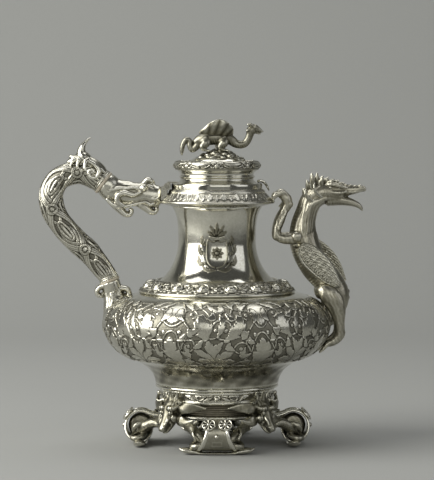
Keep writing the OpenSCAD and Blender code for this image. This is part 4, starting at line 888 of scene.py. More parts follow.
@dataclass
class Vessel:
    """The raised body: bowl, chased belly, cast shoulder border, neck and rim."""

    ring_top: float = 49.0
    waist: float = 49.2
    belly: float = 91.0
    belly_z: float = 98.0
    border: float = 62.0
    border_z: float = 121.5
    neck_foot: float = 47.0
    neck_z: float = 130.5
    neck: float = 31.2
    neck_top: float = 36.5
    rim_z: float = 190.5
    wall: float = 1.1
    columns: int = 1120
    repeats: int = 8
    half_repeat: float = 35.7
    arms_low: float = 138.4
    arms_high: float = 181.0
    band_low: float = 69.1
    band_high: float = 118.7
    band_width: float = 58.0
    seam_z: float = 91.0
    chased: float = 0.88
    sunk: float = 0.38

    def bowl_line(self) -> Array:
        """The belly's outside from the ring to its widest point: two cubics."""
        low = bezier((self.waist, self.ring_top), (50.2, 60.3), (60.2, 66.6), (72.8, 70.6), 40)
        return np.concatenate([low, bezier((72.8, 70.6), (82.8, 75), (self.belly, 85.3),
            (self.belly, self.belly_z), 40)[1:]])

    def cover_line(self) -> Array:
        """The belly's outside from its widest point to the border: a cubic."""
        return bezier((self.belly, self.belly_z), (self.belly, 110.9), (79, 118.2),
            (self.border, self.border_z), 40)

    def shoulder_line(self) -> Array:
        """The sheet under the cast border: a cubic."""
        return bezier((self.border, self.border_z), (57, 123), (51, 127.5), (self.neck_foot, self.neck_z), 16)

    def neck_line(self) -> Array:
        """The neck's outside: two cubics, hollow and then flaring.

        Returns:
            Points from the shoulder up to the rim.
        """
        z = self.neck_z
        low = bezier((self.neck_foot, z), (41, z + 3.6), (self.neck, z + 15.6), (self.neck, z + 32.4), 40)
        return np.concatenate([low, bezier((self.neck, z + 32.4), (self.neck, 176.1), (31.7, 183.9),
            (self.neck_top, self.rim_z), 24)[1:]])

    @staticmethod
    def inside(line: Array, wall: float) -> Array:
        """A line moved inwards by the wall."""
        return line - wall * right_of(line)

    def build(self) -> None:
        """Builds the vessel's pieces from the ring up."""
        self.build_belly()
        self.build_border()
        self.build_neck()
        self.build_rim()
        self.build_arms()

    def chasing(self, x: Array, y: Array) -> Relief:
        """Half a repeat of the belly's ornament: leaves, a palmette and looping stems on a punched ground.

        Args:
            x: millimetres across from the palmette's middle, 0 to half_repeat.
            y: millimetres up from the lower edge, 0 to band_width.

        Returns:
            The relief, 1 mm high at most.
        """
        r = Relief(x, y)
        r.tone[:] = 0.46
        m = self.half_repeat
        for rows in ([(6, 1.5), (14, 3.5), (22, 9), (25.5, 17), (22.5, 25), (16.5, 26), (14, 21.5),
                (17.5, 18)], [(25.5, 17), (28.5, 25), (32, 30), (m, 31.5)],
                [(22.5, 25), (23.5, 33), (28.5, 39), (27.5, 46), (21.5, 48.5), (18.5, 44), (22, 41)],
                [(0, 30.5), (4.5, 29), (8, 31), (8.5, 35)], [(0, 54.5), (7, 54), (14, 50), (21.5, 48.5)],
                [(28.5, 39), (32.5, 35.5), (m, 34.5)], [(27.5, 46), (30, 52), (m, 57)], [(22, 9), (28, 4.5),
                (m, 1.5)], [(8.5, 35), (6, 40), (2, 41), (0, 38.5)], [(14, 50), (10, 46), (11, 42)]):
            r.stem(rows, 0.6, 0.78, 7)
        r.leaf([(m, 2), (m, 13), (m, 27.5)], 10.4, 1.0, 3.6, 0.55, veins=0.08, flat=0.16)
        r.leaf([(m, 57), (m, 47), (m, 36)], 8.6, 1.0, 3.2, 0.55, veins=0.08, flat=0.16)
        for angle, length, width in ((90, 23, 4.2), (60, 21, 4.2), (30, 17, 3.8), (4, 12, 3)):
            a, bend = np.radians(angle), np.radians(angle - 14)
            r.leaf([(0.2 * length * np.cos(a), 4.5 + 0.2 * length * np.sin(a)),
                (0.5 * length * np.cos(a), 5.5 + 0.5 * length * np.sin(a)),
                (length * np.cos(bend), 5.5 + length * np.sin(bend))], width, 1.0, 2.6, 0.5, veins=0.08,
                flat=0.16)
        for rows, width, lobes in (([(8, 29), (11, 33), (15.5, 38.5), (14, 45)], 5.6, 3.4),
                ([(22, 9), (27, 8.5), (31, 4)], 2.6, 2.2), ([(14, 3.5), (18, 1.5), (24, 1.5)], 2.2, 2),
                ([(25.5, 17), (21.5, 15), (20, 20), (22, 23)], 2.4, 2.2),
                ([(23.5, 33), (20, 31), (18, 34.5)], 2.6, 2.2),
                ([(28.5, 39), (31.5, 43), (30, 49)], 2.6, 2.4),
                ([(21.5, 48.5), (24, 52.5), (30, 55.5)], 2.8, 2.4),
                ([(14, 50), (15, 54), (20, 57)], 2.6, 2.2), ([(7, 54), (4, 50), (0, 47)], 2.4, 2),
                ([(0, 31), (0, 36.5), (0, 46)], 2.6, 2.4), ([(28.5, 25), (25.5, 26.5), (24.5, 30)], 2, 1.8),
                ([(14, 21.5), (10.5, 23.5), (10, 27.5)], 2.2, 2), ([(11, 42), (7.5, 43), (5, 47)], 2.2, 2)):
            r.leaf(rows, width * 1.22, 0.92, lobes, 0.52, veins=0.08, flat=0.16)
        for x0, y0 in ((18.6, 22), (23, 44.4), (0, 5.5), (4, 35), (29.4, 30.6)):
            r.dome(x0, y0, 1.3, 0.85)
        return r

    def build_belly(self) -> None:
        """Two chased rings, below and above the belly's widest point, and one closed skin for the rest."""
        outside = np.concatenate([self.bowl_line(), self.cover_line()[1:]])
        fine = even(outside, 0.49)
        s = lengths(fine)
        low, high = (float(np.interp(z, fine[:, 1], s)) for z in (self.band_low, self.band_high))
        band = (s >= low) & (s <= high)
        zone = fine[band]
        up = (s[band] - low) / (high - low) * self.band_width
        turn = (np.arange(self.columns) / self.columns + 0.25) * 2 * self.repeats
        # each half repeat mirrors the one before it; slow sines shift it a little, as work by hand does
        lap = 2 * np.pi * turn / (2 * self.repeats)
        turn = turn + 0.075 * np.sin(5 * lap + up[:, None] / 8) + 0.05 * np.sin(3 * lap - up[:, None] / 5)
        x = self.half_repeat * (1 - np.abs(turn % 2 - 1))
        work = self.chasing(x, up[:, None] + 1.6 * np.sin(7 * lap + 1) *
            np.sin(np.pi * up / self.band_width)[:, None])
        border = np.minimum(up, self.band_width - up)
        edge, fillet = step_up(border, 0.3, 1.2)[:, None], 1 - step_up(border, 0.9, 1.6)[:, None]
        raised = np.clip(work.height * edge, 0, 1.0) * self.chased - self.sunk
        raised = raised * (1 - fillet) - 0.05 * fillet
        raised[0] = raised[-1] = -0.9
        tone = work.tone * (1 - fillet) - 0.4 * fillet
        seam = int(np.argmin(np.abs(zone[:, 1] - self.seam_z)))
        for name, rows, node in (("belly_chasing_low", slice(0, seam + 1), "belly_shell"),
                ("belly_chasing_high", slice(seam, None), "belly_cover")):
            back = self.inside(zone[rows], 1.06)[::-8]
            form = relief_ring(zone[rows], back, raised[rows], tone[rows])
            dress(made(name, form, 1, 0.45), node, finish=Finish.CHASED, slot="chased_silver")
        low_part = self.bowl_line()
        low_part = low_part[low_part[:, 1] <= 69.4]
        sunk = self.inside(zone, 0.98)[6:-6:8]
        top = self.cover_line()
        top = top[top[:, 1] >= 118.2]
        line = np.concatenate([low_part, sunk, top, self.shoulder_line()[1:]])
        under = self.inside(line, self.wall)
        loop = np.concatenate([[[0.05, self.ring_top]], line, under[::-1],
            [[0.05, self.ring_top + self.wall]]])
        a = np.linspace(0, 2 * np.pi, 240, endpoint=False)[None, :]
        z = loop[:, 1:]
        # the hollow above the ring: its colour is darkened as painted reflection
        painted_reflection_zone = step_up(z, 49.4, 51.5) * (1 - step_up(z, 64.0, 68.4)) * (loop[:, :1] > 48)
        # painted reflection: broad and narrow dark streaks that slant round the hollow, on a darkened ground,
        # stand for the ring and masks mirrored in it
        broad_reflection_streaks = 0.2 * np.cos(8 * a + 0.4 * z) * np.cos(0.62 * z - 1.4)
        tone = painted_reflection_zone * (0.42 + broad_reflection_streaks + 0.14 * np.cos(21 * a - 0.5 * z))
        dress(made("belly_sheet", revolved(loop, 240, 0 * tone, tone, wrap=False), 1, 0.6), "belly_shell",
            "belly_cover", finish=Finish.POLISHED, slot="polished_silver")

    def build_border(self) -> None:
        """The cast border: stones in collars between scrolls and leaves, on a swelling ring."""
        columns, repeats = 768, 16
        crest = np.concatenate([bezier((62, 121.62), (63.2, 122.4), (62.8, 124.2), (61, 124.6), 8),
            bezier((61, 124.6), (58.5, 125.4), (53.6, 129.2), (50.6, 130.6), 30)[1:],
            bezier((50.6, 130.6), (49.8, 131.9), (48.2, 132.2), (47.5, 130.8), 8)[1:]])
        crest = even(crest, 0.42)
        s = lengths(crest)
        x = repeated(columns, repeats, 55)
        mid = s[-1] / 2
        r = relief(x, s - mid)
        for side in (-1, 1):
            r.stem([(side * 4.8, -3.8), (side * 7.2, -2.6), (side * 7.8, 0.6), (side * 6.2, 2.2),
                (side * 5, 0.8)], 0.7, 1.1)
            r.leaf([(side * 4.2, 3.6), (side * 6.8, 5.2), (side * 10.2, 4.4)], 1.9, 1.0, 2.0)
            r.leaf([(side * 7.2, -2.6), (side * 8.6, -4.4), (side * 10.6, -5.2)], 1.8, 1.0, 2.0)
            r.leaf([(side * 10.8, -3), (side * 9.6, 0.6), (side * 10.8, 3.4)], 2.0, 1.4, 2.4)
            r.leaf([(side * 2.2, -4.8), (side * 3.8, -6), (side * 5.6, -5.6)], 1.3, 0.8, 1.6)
        r.dome(0, 0, 3.5, 3.2, 1.6)
        r.dome(10.8, 0.4, 1.3, 1.8)
        r.dome(-10.8, 0.4, 1.3, 1.8)
        ends = step_up(np.minimum(s, s[-1] - s), 0.0, 1.4)[:, None]
        rim = np.exp(-(((np.abs(s - mid) - mid + 1.3) / 0.9) ** 2))[:, None]
        raised = r.height * ends + 0.4 * rim
        under = self.shoulder_line()[::-1] + np.array([0.03, 0.05])
        tone = np.where(rim > 0.5, -0.4, r.tone)
        dress(made("shoulder_scrollwork", relief_ring(crest, under, raised, tone), 1, 0.5), "shoulder_border")

    def build_neck(self) -> None:
        """The polished neck: one closed skin."""
        line = self.neck_line()
        loop = np.concatenate([line, self.inside(line, self.wall)[::-1]])
        dress(made("neck_sheet", revolved(loop, 240), 1, 0.3), "neck", finish=Finish.POLISHED,
            slot="polished_silver")

    def build_rim(self) -> None:
        """The rim: a bold lip, and over it a chamfer engraved with hanging leaves under a beaded edge."""
        columns, repeats = 576, 24
        line = np.array([(36.5, 190.5), (39.5, 191.5), (45.6, 192.9), (46.3, 193.3), (46.4, 194.2),
            (46.2, 194.8), (45.4, 195.1), (44.8, 195.4), (39.1, 201.3), (38.8, 201.8), (38.8, 202.6),
            (38.5, 203), (38, 203.3), (38, 204), (33.6, 204), (33.6, 202.9), (36.9, 201.6), (44.2, 194.5),
            (44.2, 193.5), (35.4, 191.3), (35.4, 190.5)])
        line = even(line, 0.5)
        s = lengths(line)
        chamfer = (line[:, 1] > 195.2) & (line[:, 1] < 201.6) & (line[:, 0] + line[:, 1] > 239.4)
        base = s[np.argmax(chamfer)]
        up = np.where(chamfer, s - base, -9.0)
        x = repeated(columns, repeats, 42)
        r = relief(x, up)
        r.leaf([(0, 8.2), (0, 5), (0, 1.2)], 3.0, 0.45, 2.4, 0.35)
        r.stem([(-5.5, 7.6), (-4.8, 4.6), (-3.2, 3.4), (-2.6, 5)], 0.5, 0.4)
        r.stem([(5.5, 7.6), (4.8, 4.6), (3.2, 3.4), (2.6, 5)], 0.5, 0.4)
        r.leaf([(5.5, 0.9), (5.5, 2.4), (5.5, 4.6)], 1.6, 0.4, 1.5)
        r.leaf([(-5.5, 0.9), (-5.5, 2.4), (-5.5, 4.6)], 1.6, 0.4, 1.5)
        on = chamfer[:, None].astype(float)
        raised = on * (r.height - 0.4)
        tone = np.where(on > 0, r.tone * 0.6 - 0.12, 0.0)
        dress(made("rim_engraved", revolved(line, columns, raised, tone), 1, 0.4), "rim_collar")

    def build_arms(self) -> None:
        """A blank cartouche on the neck: a framed shield with a rosette, mantling and a fan of plumes."""
        line = even(self.neck_line(), 0.38)
        line = line[(line[:, 1] > self.arms_low) & (line[:, 1] < self.arms_high)]
        reach = np.radians(33) * self.neck
        a = np.radians(np.linspace(-90 - 33, -90 + 33, 104))
        x = (a + np.pi / 2) * self.neck
        r = relief(x, line[:, 1] - self.arms_low)
        for k in (-1, 1):
            r.leaf([(k * 7, 8), (k * 12.6, 8), (k * 14.6, 14.6)], 2.2, 0.75, 3.0, 0.45)
            r.leaf([(k * 8, 15), (k * 13.6, 17), (k * 14.8, 23.4)], 2.2, 0.75, 3.0, 0.45)
            r.leaf([(k * 7.4, 22), (k * 12.4, 25), (k * 11.4, 30.6)], 2.0, 0.75, 2.6, 0.45)
            r.leaf([(k * 1, 3), (k * 6.4, 2.8), (k * 11, 6.6)], 1.9, 0.75, 3.0, 0.45)
            r.stem([(k * 6, 5), (k * 11, 11), (k * 12.6, 19), (k * 9.6, 27)], 0.5, 0.6)
            r.stem([(0, 4.6), (k * 4.6, 6.6), (k * 7.6, 12), (k * 8, 20), (k * 7.2, 26.2), (k * 3.6, 25),
                (0, 26)], 0.8, 0.95)
        for turn in range(0, 360, 45):
            way = np.array([np.sin(np.radians(turn)), np.cos(np.radians(turn))])
            r.leaf([tuple(np.array([0, 16.0]) + way * far) for far in (1, 3, 5.4)], 1.5, 0.7, 1.0, 0.3)
        r.dome(0, 16, 1.5, 1.0)
        for turn, length in ((-58, 9.6), (-30, 11.4), (0, 12.2), (30, 11.4), (58, 9.6)):
            way = np.array([np.sin(np.radians(turn)), np.cos(np.radians(turn))])
            foot = np.array([0.0, 28.4])
            r.leaf([tuple(foot + way * 1.2), tuple(foot + way * 0.55 * length), tuple(foot + way * length)],
                1.9, 0.85, 2.0, 0.3)
        r.band([(-5.6, 28.6), (0, 27.4), (5.6, 28.6)], 1.1, 0.95)
        out = right_of(line)[:, None]
        sides = np.minimum(step_up(x + reach, 0.2, 1.2) * step_up(reach - x, 0.2, 1.2), 1)[None, :]
        border = np.minimum(line[:, 1] - self.arms_low, self.arms_high - line[:, 1])
        h = (-0.35 + r.height * 1.15 * sides * step_up(border, 0.2, 1.2)[:, None])[..., None]
        top, low = line[:, None] + out * h, line[:, None] - out * 0.8 + 0 * h
        loop = np.concatenate([top, low[:, ::-1]], 1)
        turn = np.concatenate([a, a[::-1]])
        p = np.stack([loop[..., 0] * np.cos(turn), loop[..., 0] * np.sin(turn), loop[..., 1]], -1)
        tone = np.concatenate([r.tone, 0 * r.tone], 1)
        tone = np.concatenate([tone[:1], tone, tone[-1:]])
        form = Form().grid(capped(p)[::-1], wrap_v=True, tone=tone[::-1])
        dress(made("blank_cartouche", form, 1, 0.4), "shield", "shield_crest", finish=Finish.OXIDISED)


# ---- The base --------------------------------------------------------------------------------------


@dataclass
class Base:
    """Plate, reeded band, cast drum and the ring that carries the bowl."""

    plate_z: float = 24.0
    plate_r: float = 47.0
    reed_z: float = 27.0
    reed_r: float = 41.0
    drum_z: float = 36.0
    drum_r: float = 46.0
    ring_z: float = 46.0
    ring_r: float = 49.3
    reeds: int = 6

    def build(self) -> None:
        """Builds the rings from the plate up."""
        z, r = self.plate_z, self.plate_r
        line = np.array([(30, z), (r - 1, z), (r - 0.3, z + 0.3), (r, z + 1), (r, z + 2), (r - 0.3, z + 2.7),
            (r - 1, z + 3), (30, z + 3)])
        dress(made("plate_turned", revolved(even(line, 0.7), 240), 1, 0.4), "base_plate",
            slot="polished_silver")
        self.build_reeds()
        self.build_drum()
        a = np.linspace(-np.pi / 2, np.pi / 2, 18)
        ring = np.stack([self.ring_r - 1.5 + 1.5 * np.cos(a), self.ring_z + 1.5 + 1.5 * np.sin(a)], 1)
        line = np.concatenate([[[43.0, 46.0]], ring, [[43.0, 49.0]]])
        dress(made("ring_turned", revolved(line, 288), 1, 0.3), "foot_ring", finish=Finish.POLISHED,
            slot="polished_silver")

    def build_reeds(self) -> None:
        """The band, darkened with painted shade: each reed's radius follows a half circle."""
        z = np.linspace(self.reed_z, self.drum_z, self.reeds * 9 + 1)
        f = ((z - self.reed_z) / (self.drum_z - self.reed_z) * self.reeds) % 1
        r = self.reed_r - 0.75 * (1 - np.sqrt(np.clip(1 - (2 * f - 1) ** 2, 0, 1)))
        line = np.concatenate([np.stack([r, z], 1), [[38.2, self.drum_z], [38.2, self.reed_z]]])
        dress(made("reeds_turned", revolved(line, 240), 1, 0.6), "reeded_band", finish=Finish.BLACKENED)

    def build_drum(self) -> None:
        """The cast drum: scrolls and leaves between two fillets, with a bead over each foot."""
        columns = 640
        z, r = self.drum_z, self.drum_r
        line = even(np.array([(r - 0.9, z), (r, z + 0.7), (r, z + 1.9), (r - 0.9, z + 2.5),
            (r - 0.9, z + 7.5), (r, z + 8.1), (r, z + 9.4), (r - 0.4, z + 10)]), 0.4)
        x = ((np.arange(columns) / columns * 4 + 0.5) % 1 - 0.5) * (2 * np.pi * r / 4)
        w = relief(x, line[:, 1] - z - 5)
        for s in (-1, 1):
            w.stem([(s * 2, 0), (s * 5, 2), (s * 9, 1.4), (s * 12, -1), (s * 15, -1.6), (s * 17, 0.2),
                (s * 15.6, 1.2)], 0.7, 0.8)
            w.leaf([(s * 4, 1), (s * 7, -0.6), (s * 11, -2)], 1.3, 0.8, 2.0)
            w.leaf([(s * 9, 1.2), (s * 13, 2.2), (s * 18, 1.6)], 1.3, 0.8, 2.0)
            w.leaf([(s * 19, -1.8), (s * 22, 0.4), (s * 27, 1.8)], 1.6, 0.8, 2.0)
        w.dome(0, 0, 1.6, 0.8, 0.9)
        panel = step_up(2.4 - np.abs(line[:, 1] - z - 5), 0.0, 0.5)[:, None]
        raised = 0.85 * w.height * panel
        back = np.array([(43.9, 46), (43.8, 37.2), (37, 37.1), (37, 36)])
        tone = np.where(panel > 0.2, w.tone, -0.3)
        dress(made("drum_scrollwork", relief_ring(line, back, raised, tone), 1, 0.4), "base_drum")


# ---- The feet --------------------------------------------------------------------------------------


@dataclass
class Feet:
    """Four rolled straps on pads, serpents woven through the rolls, and four horned masks between."""

    reach: float = 74.0
    roll: float = 12.8
    strap: float = 1.8
    pad: float = 2.4
    base_r: float = 47.0
    base_z: float = 24.0
    drum_z: float = 36.0
    top_w: float = 16.0
    low_w: float = 31.0

    def build(self) -> None:
        """Makes one of each and turns copies of it to the other places."""
        strap, serpent, mask = self.strap_form(), self.serpent_form(), self.mask_form()
        for name, turn in (("spout_side", 0), ("back", 90), ("handle_side", 180), ("front", 270)):
            dress(made(f"strap_{name}", strap.turned(turn), 2, 1.0), f"foot_{name}", slot="polished_silver")
        skin = cast("serpent_spout", serpent, 0.62, 3, 1.4, detail=self.scales)
        self.copies(skin, "serpent_body", ("spout_side", "back", "handle_side", "front"), 0, Finish.OXIDISED,
            "serpent")
        skin = cast("mask_casting", mask, 0.56, 3, 1.5, detail=self.hide)
        self.copies(skin, "beast_mask", ("back_right", "back_left", "front_left", "front_right"), 45,
            Finish.OXIDISED, "mask")
        dress(made("pads_cast", around(self.pad_form(), 4), 1, 0.8), "foot_pads")
        dress(made("bosses_rayed", around(self.boss_form().both_sides(), 4), 1, 0.8), "foot_bosses")

    def copies(self, skin: bpy.types.Object, name: str, places: Sequence[str], start: float, finish: Finish,
            node: str) -> None:
        """Turns a casting to each place and drops the first one.

        Args:
            skin: the casting, made at the spout's side.
            name: first part of the copies' names.
            places: last parts of their names.
            start: turn of the first copy in degrees.
            finish: their silver. node: first part of the CAD nodes' names.
        """
        p, faces = shape_of(skin.data)
        tone = np.empty(len(p), np.float32)
        skin.data.attributes["tone"].data.foreach_get("value", tone)
        form = Form([p], [faces], [tone.astype(float)], len(p))
        bpy.data.objects.remove(skin)
        for k, place in enumerate(places):
            q, f, t = form.turned(start + 90 * k).merged()
            dress(to_object(f"{name}_{place}", q, f, t), f"{node}_{place}", finish=finish)

    def strap_line(self) -> Array:
        """The rolled strap from the plate down: a curve, most of a circle and a tightening curl.

        Returns:
            Points outwards from the axis and up, evenly spaced.
        """
        c = np.array([self.reach - self.roll, self.pad + self.roll])
        r = self.roll - self.strap / 2
        a = np.radians(np.linspace(125, -95, 60))
        round_part = c + r * np.stack([np.cos(a), np.sin(a)], 1)
        a = np.radians(np.linspace(-97, -205, 26))
        curl_r = np.linspace(r, self.roll - 5, 26)[:, None]
        inner = c + curl_r * np.stack([np.cos(a), np.sin(a)], 1)
        lead = spline([(self.base_r - 9, self.base_z - 0.9), (self.base_r, self.base_z - 0.9),
            tuple(round_part[0])], 14)[:-1]
        return even(np.concatenate([lead, round_part, inner]), 0.7)

    def strap_form(self) -> Form:
        """The strap: along its line a band whose edges are raised threads, waisted as the CAD cuts it.

        Returns:
            The form at the spout's side.
        """
        line = self.strap_line()
        out = -right_of(line)
        drop = 2 * self.roll - 2
        inset = (self.low_w - self.top_w) / 2
        cut = (drop * drop + inset * inset) / (2 * inset)
        fall = np.clip(self.pad + 2 * self.roll - line[:, 1], 0, 2 * self.roll)
        half = np.minimum(self.top_w / 2 + cut - np.sqrt(np.maximum(cut * cut - fall**2, 0)), self.low_w / 2)
        v = np.linspace(-1, 1, 49)
        edge = np.abs(v)
        thread = 0.8 * np.exp(-(((edge - 0.88) / 0.09) ** 2))
        y = half[:, None] * v[None, :]
        s = np.linalg.norm(line - np.array([self.reach, self.pad + 5.4]), axis=1)[:, None]
        frame_gap = np.maximum(np.abs(y), s)
        by_roll = (line[:, :1] > self.reach - 9) * (line[:, 1:] < 13)
        window = 0.35 * np.exp(-(((frame_gap - 3.6) / 0.45) ** 2)) * by_roll
        rise = self.strap / 2 - 0.5 + thread[None, :] + window
        top = line[:, None, :] + out[:, None, :] * rise[..., None]
        low = line[:, None, :] - out[:, None, :] * (self.strap / 2 - 0.05)
        low = np.broadcast_to(low, top.shape)
        loop = np.concatenate([np.stack([top[..., 0], y, top[..., 1]], -1),
            np.stack([low[..., 0], y, low[..., 1]], -1)[:, ::-1]], 1)
        ground = np.where((np.abs(v)[None, :] < 0.74) & (line[:, :1] > self.reach - 10), 0.22, -0.35)
        tone = np.pad(np.concatenate([ground, ground * 0 + 0.2], 1), ((1, 1), (0, 0)))
        return Form().grid(capped(loop), wrap_v=True, tone=tone)

    def pad_form(self) -> Form:
        """The pad: a lens-shaped tongue across the foot whose ends turn up.

        Returns:
            The form at the spout's side.
        """
        x0 = self.reach - self.roll
        lip = [(x0, 29.4, 5, 1.6, 0.5), (x0, 26.6, 3.7, 4, 1.7), (x0, 22, 3.1, 5.2, 2.5),
            (x0, 17, 2.4, 5.4, 2.1), (x0, 13, 1.35, 5.4, 1.2), (x0, 0, 1.15, 5.4, 1.1)]
        rows = [(x, -y, z, a, b) for x, y, z, a, b in lip] + lip[-2::-1]
        return Form().limb(rows, 28, 5, side=(0, 0, 1))

    def boss_form(self) -> Form:
        """A rayed boss: a dish whose height follows rays round a bead, inside a thread.

        Returns:
            The form beside the spout-side strap.
        """
        r = np.linspace(0.02, 5.4, 26)[:, None]
        a = np.linspace(0, 2 * np.pi, 72, endpoint=False)[None, :]
        rays = 0.5 + 0.5 * np.cos(8 * a)
        bead = 1.4 * np.sqrt(np.clip(1 - (r / 1.5) ** 2, 0, 1))
        h = 0.9 + bead + 0.7 * rays * step_up(r, 1.3, 2.0) * (1 - step_up(r, 3.9, 4.5))
        h = h + 0.8 * np.exp(-(((r - 4.9) / 0.4) ** 2))
        top = np.stack([r * np.cos(a), r * np.sin(a), h + 0 * a], -1)
        under = np.stack([np.array([[5.4], [5.0], [0.02]]) * np.cos(a),
            np.array([[5.4], [5.0], [0.02]]) * np.sin(a), np.array([[0.4], [0.05], [0.05]]) + 0 * a], -1)
        dark = np.concatenate([step_up(r, 1.4, 1.9) * (1 - step_up(r, 4.2, 4.6)) * (0.95 - 1.1 * rays),
            np.zeros((3, 72))])
        disc = Form().grid(np.concatenate([top, under]), wrap_v=True, tone=dark)
        turned = disc.moved(0, 0, self.roll + 0.1).turned(48, 1)
        return turned.moved(self.reach - self.roll, self.top_w / 2 - 1.5, self.pad + self.roll)

    def serpent_form(self) -> Form:
        """A serpent's body through the roll, from one mask to the next, with a fin and a curl at each side.

        Returns:
            The form at the spout's side.
        """
        c, low = self.reach - self.roll, self.pad + self.strap
        half = [(self.base_r - 1, 24, 18.4, 2.6, 2.6), (self.base_r + 4, 20, 19, 3.8, 3.8),
            (c - 3, 15.6, low + 11, 4, 4), (c + 1, 9, low + 5.6, 3.8, 3.8), (c + 1, 0, low + 3.6, 3.2, 3.2)]
        rows = half + [(x, -y, z, a, b) for x, y, z, a, b in half[-2::-1]]
        form = Form().limb(rows, 28, 10, side=(1, 0, 0))
        # the coil that fills the roll
        form.limb(rows_at(c, low, [(0, -7, 11, 1.2, 1.2), (0, -6, 11, 7.6, 7.6), (0, -2.6, 11, 9.6, 9.6),
            (0, 2.6, 11, 9.6, 9.6), (0, 6, 11, 7.6, 7.6), (0, 7, 11, 1.2, 1.2)]), 32, 8, side=(1, 0, 0))
        tuft = Form()
        coil = rows_at(c, low, [(-4, 15, 6, 2, 2), (-1, 18.4, 3.6, 2.4, 2.4), (3.4, 19, 2.4, 2.4, 2.4),
            (6.4, 15.6, 3, 2.2, 2.2), (6, 11.6, 5, 1.4, 1.4)])
        tuft.limb(coil, 16, 7)
        tuft.limb(rows_at(c, low, [(-2, 17.6, 15, 1.6, 1.3), (3, 18.6, 12.4, 2.2, 1.4),
            (5.4, 17, 8.6, 1.6, 1.1), (4.4, 15.4, 6.4, 0.6, 0.5)]), 14, 7)
        return form.add(tuft.both_sides())

    def scales(self, p: Array, n: Array) -> Array:
        """Low scales: the product of two slanted sines of the place along and up the body."""
        wave = np.sin(p[:, 1] * 2.6 + p[:, 2] * 1.9) * np.sin(p[:, 1] * 2.6 - p[:, 2] * 1.9 + p[:, 0] * 1.2)
        return 0.12 * wave

    def hide(self, p: Array, n: Array) -> Array:
        """Hair that streams down the mask: a sine across it, bent by its height.

        Args:
            p: points.
            n: normals; not used.

        Returns:
            Height for each point.
        """
        y = np.abs(p[:, 1])
        hair = 0.2 * np.sin(3.1 * p[:, 1] + 0.9 * np.sin(0.8 * p[:, 2]))
        return hair * step_up(y, 3.0, 3.6) * (1 - step_up(y, 7.0, 8.0))

    def mask_form(self) -> Form:
        """A horned beast's head that looks down and out: brow, snout, jaw, horns, ears, fins and crest.

        Returns:
            The form at the spout's side.
        """
        b, z = self.base_r, self.drum_z
        form = Form()
        form.limb(rows_at(b, z, [(-4, 0, 4, 4, 5), (-0.4, 0, 1.4, 5.4, 7), (3.4, 0, -3, 6, 7.4),
            (6.4, 0, -8, 5, 5.6), (9.4, 0, -13, 3.8, 4.2), (13, 0, -17.6, 3.1, 3.5), (15, 0, -19.6, 2, 2.8)]),
            32, 8)
        # lower jaw with its lip
        form.limb(rows_at(b, z, [(1, 0, -11, 3, 4.6), (5.4, 0, -16.6, 2.4, 3.8), (9.6, 0, -20.6, 1.7, 3),
            (12, 0, -21.6, 1, 1.8)]), 24, 7)
        side = Form()
        side.blob((b + 14, 2.2, z - 17.4), (1.7, 1.3, 1.5))
        # brow over the eye, eye, cheek
        side.limb(rows_at(b, z, [(6.6, 0.8, -3.4, 1.7, 1.6), (9.6, 3.4, -2.6, 2, 2), (8.6, 6.8, -2.6, 2, 1.9),
            (5.4, 9.6, -0.8, 1.2, 1.1)]), 16, 7)
        side.blob((b + 9.0, 4.6, z - 6.2), (2.0, 2.1, 1.9))
        side.blob((b + 6.8, 6.2, z - 10.4), (3.0, 2.6, 3.0))
        side.limb(rows_at(b, z, [(9, 2.6, -8.8, 1.2, 1.2), (11.4, 3.2, -12, 1.5, 1.4),
            (13.2, 3, -15.4, 1.2, 1.1)]), 14, 6)
        side.limb(rows_at(b, z, [(11.4, 1.6, -13.6, 0.9, 0.8), (10, 3.6, -13, 1.1, 0.9),
            (8, 5, -14.4, 0.9, 0.8), (8.2, 4.6, -16.8, 0.6, 0.5)]), 12, 6)
        # horn curling forward, ear, and leafy fins that lead to the serpent
        side.limb(rows_at(b, z, [(2.4, 4.4, 1, 2, 1.9), (3.8, 8.2, 2.8, 1.8, 1.6), (5.4, 11.6, 1.6, 1.4, 1.2),
            (6.4, 14.2, 3.2, 0.6, 0.5)]), 16, 7)
        side.limb(rows_at(b, z, [(2.4, 7, -2.6, 3.2, 2.4), (3.6, 13, -2.8, 4.4, 1.8),
            (-0.2, 20.4, -1.6, 3.6, 1.4), (-6.8, 28.6, -2, 0.7, 0.6)]), 20, 8, side=(1, 0, 0),
            shape=lambda a, t: 1 + 0.1 * np.cos(3 * a + 7 * t))
        side.limb(rows_at(b, z, [(1, 5.4, -9.6, 3.6, 2.6), (4.2, 11, -12.6, 4.2, 2),
            (3.4, 17, -13.6, 3.2, 1.5), (1.8, 23, -11, 0.7, 0.6)]), 20, 8, side=(1, 0, 0),
            shape=lambda a, t: 1 + 0.1 * np.cos(3 * a - 7 * t))
        side.limb(rows_at(b, z, [(-1, 9, -12.4, 2.4, 1.6), (1, 13.6, -17, 2.4, 1.1),
            (1.6, 17, -19.4, 1.6, 0.9), (0.6, 20.6, -18.4, 0.5, 0.4)]), 16, 7, side=(1, 0, 0))
        side.blob((b + 2.2, 9.6, z - 5.2), (1.5, 1.5, 1.5))
        # crest of three leaves over the brow
        side.limb(rows_at(b, z, [(3.6, 1.8, 0.6, 1.3, 2), (3.2, 4.8, 5, 1.1, 1.9), (3.6, 6.8, 9, 0.8, 1.3),
            (5, 7.8, 10.2, 0.4, 0.5)]), 16, 7)
        form.limb(rows_at(b, z, [(5.4, 0, -0.6, 1.5, 2.2), (4.2, 0, 5, 1.2, 2.6), (4.8, 0, 9.6, 0.9, 1.7),
            (6.6, 0, 11, 0.5, 0.7)]), 20, 8, shape=lambda a, t: 1 + 0.14 * np.cos(4 * a))
        form.add(side.both_sides())
        return form


# ---- The dragon spout --------------------------------------------------------------------------------


def on_spout(rows: Rows) -> list[tuple[float, ...]]:
    """Rows given out from the belly, sideways, and up in hundredths of the way to the rim, as x, y, z."""
    return [(91 + r[0], r[1], 98 + r[2] * 0.955, *r[3:]) for r in rows]


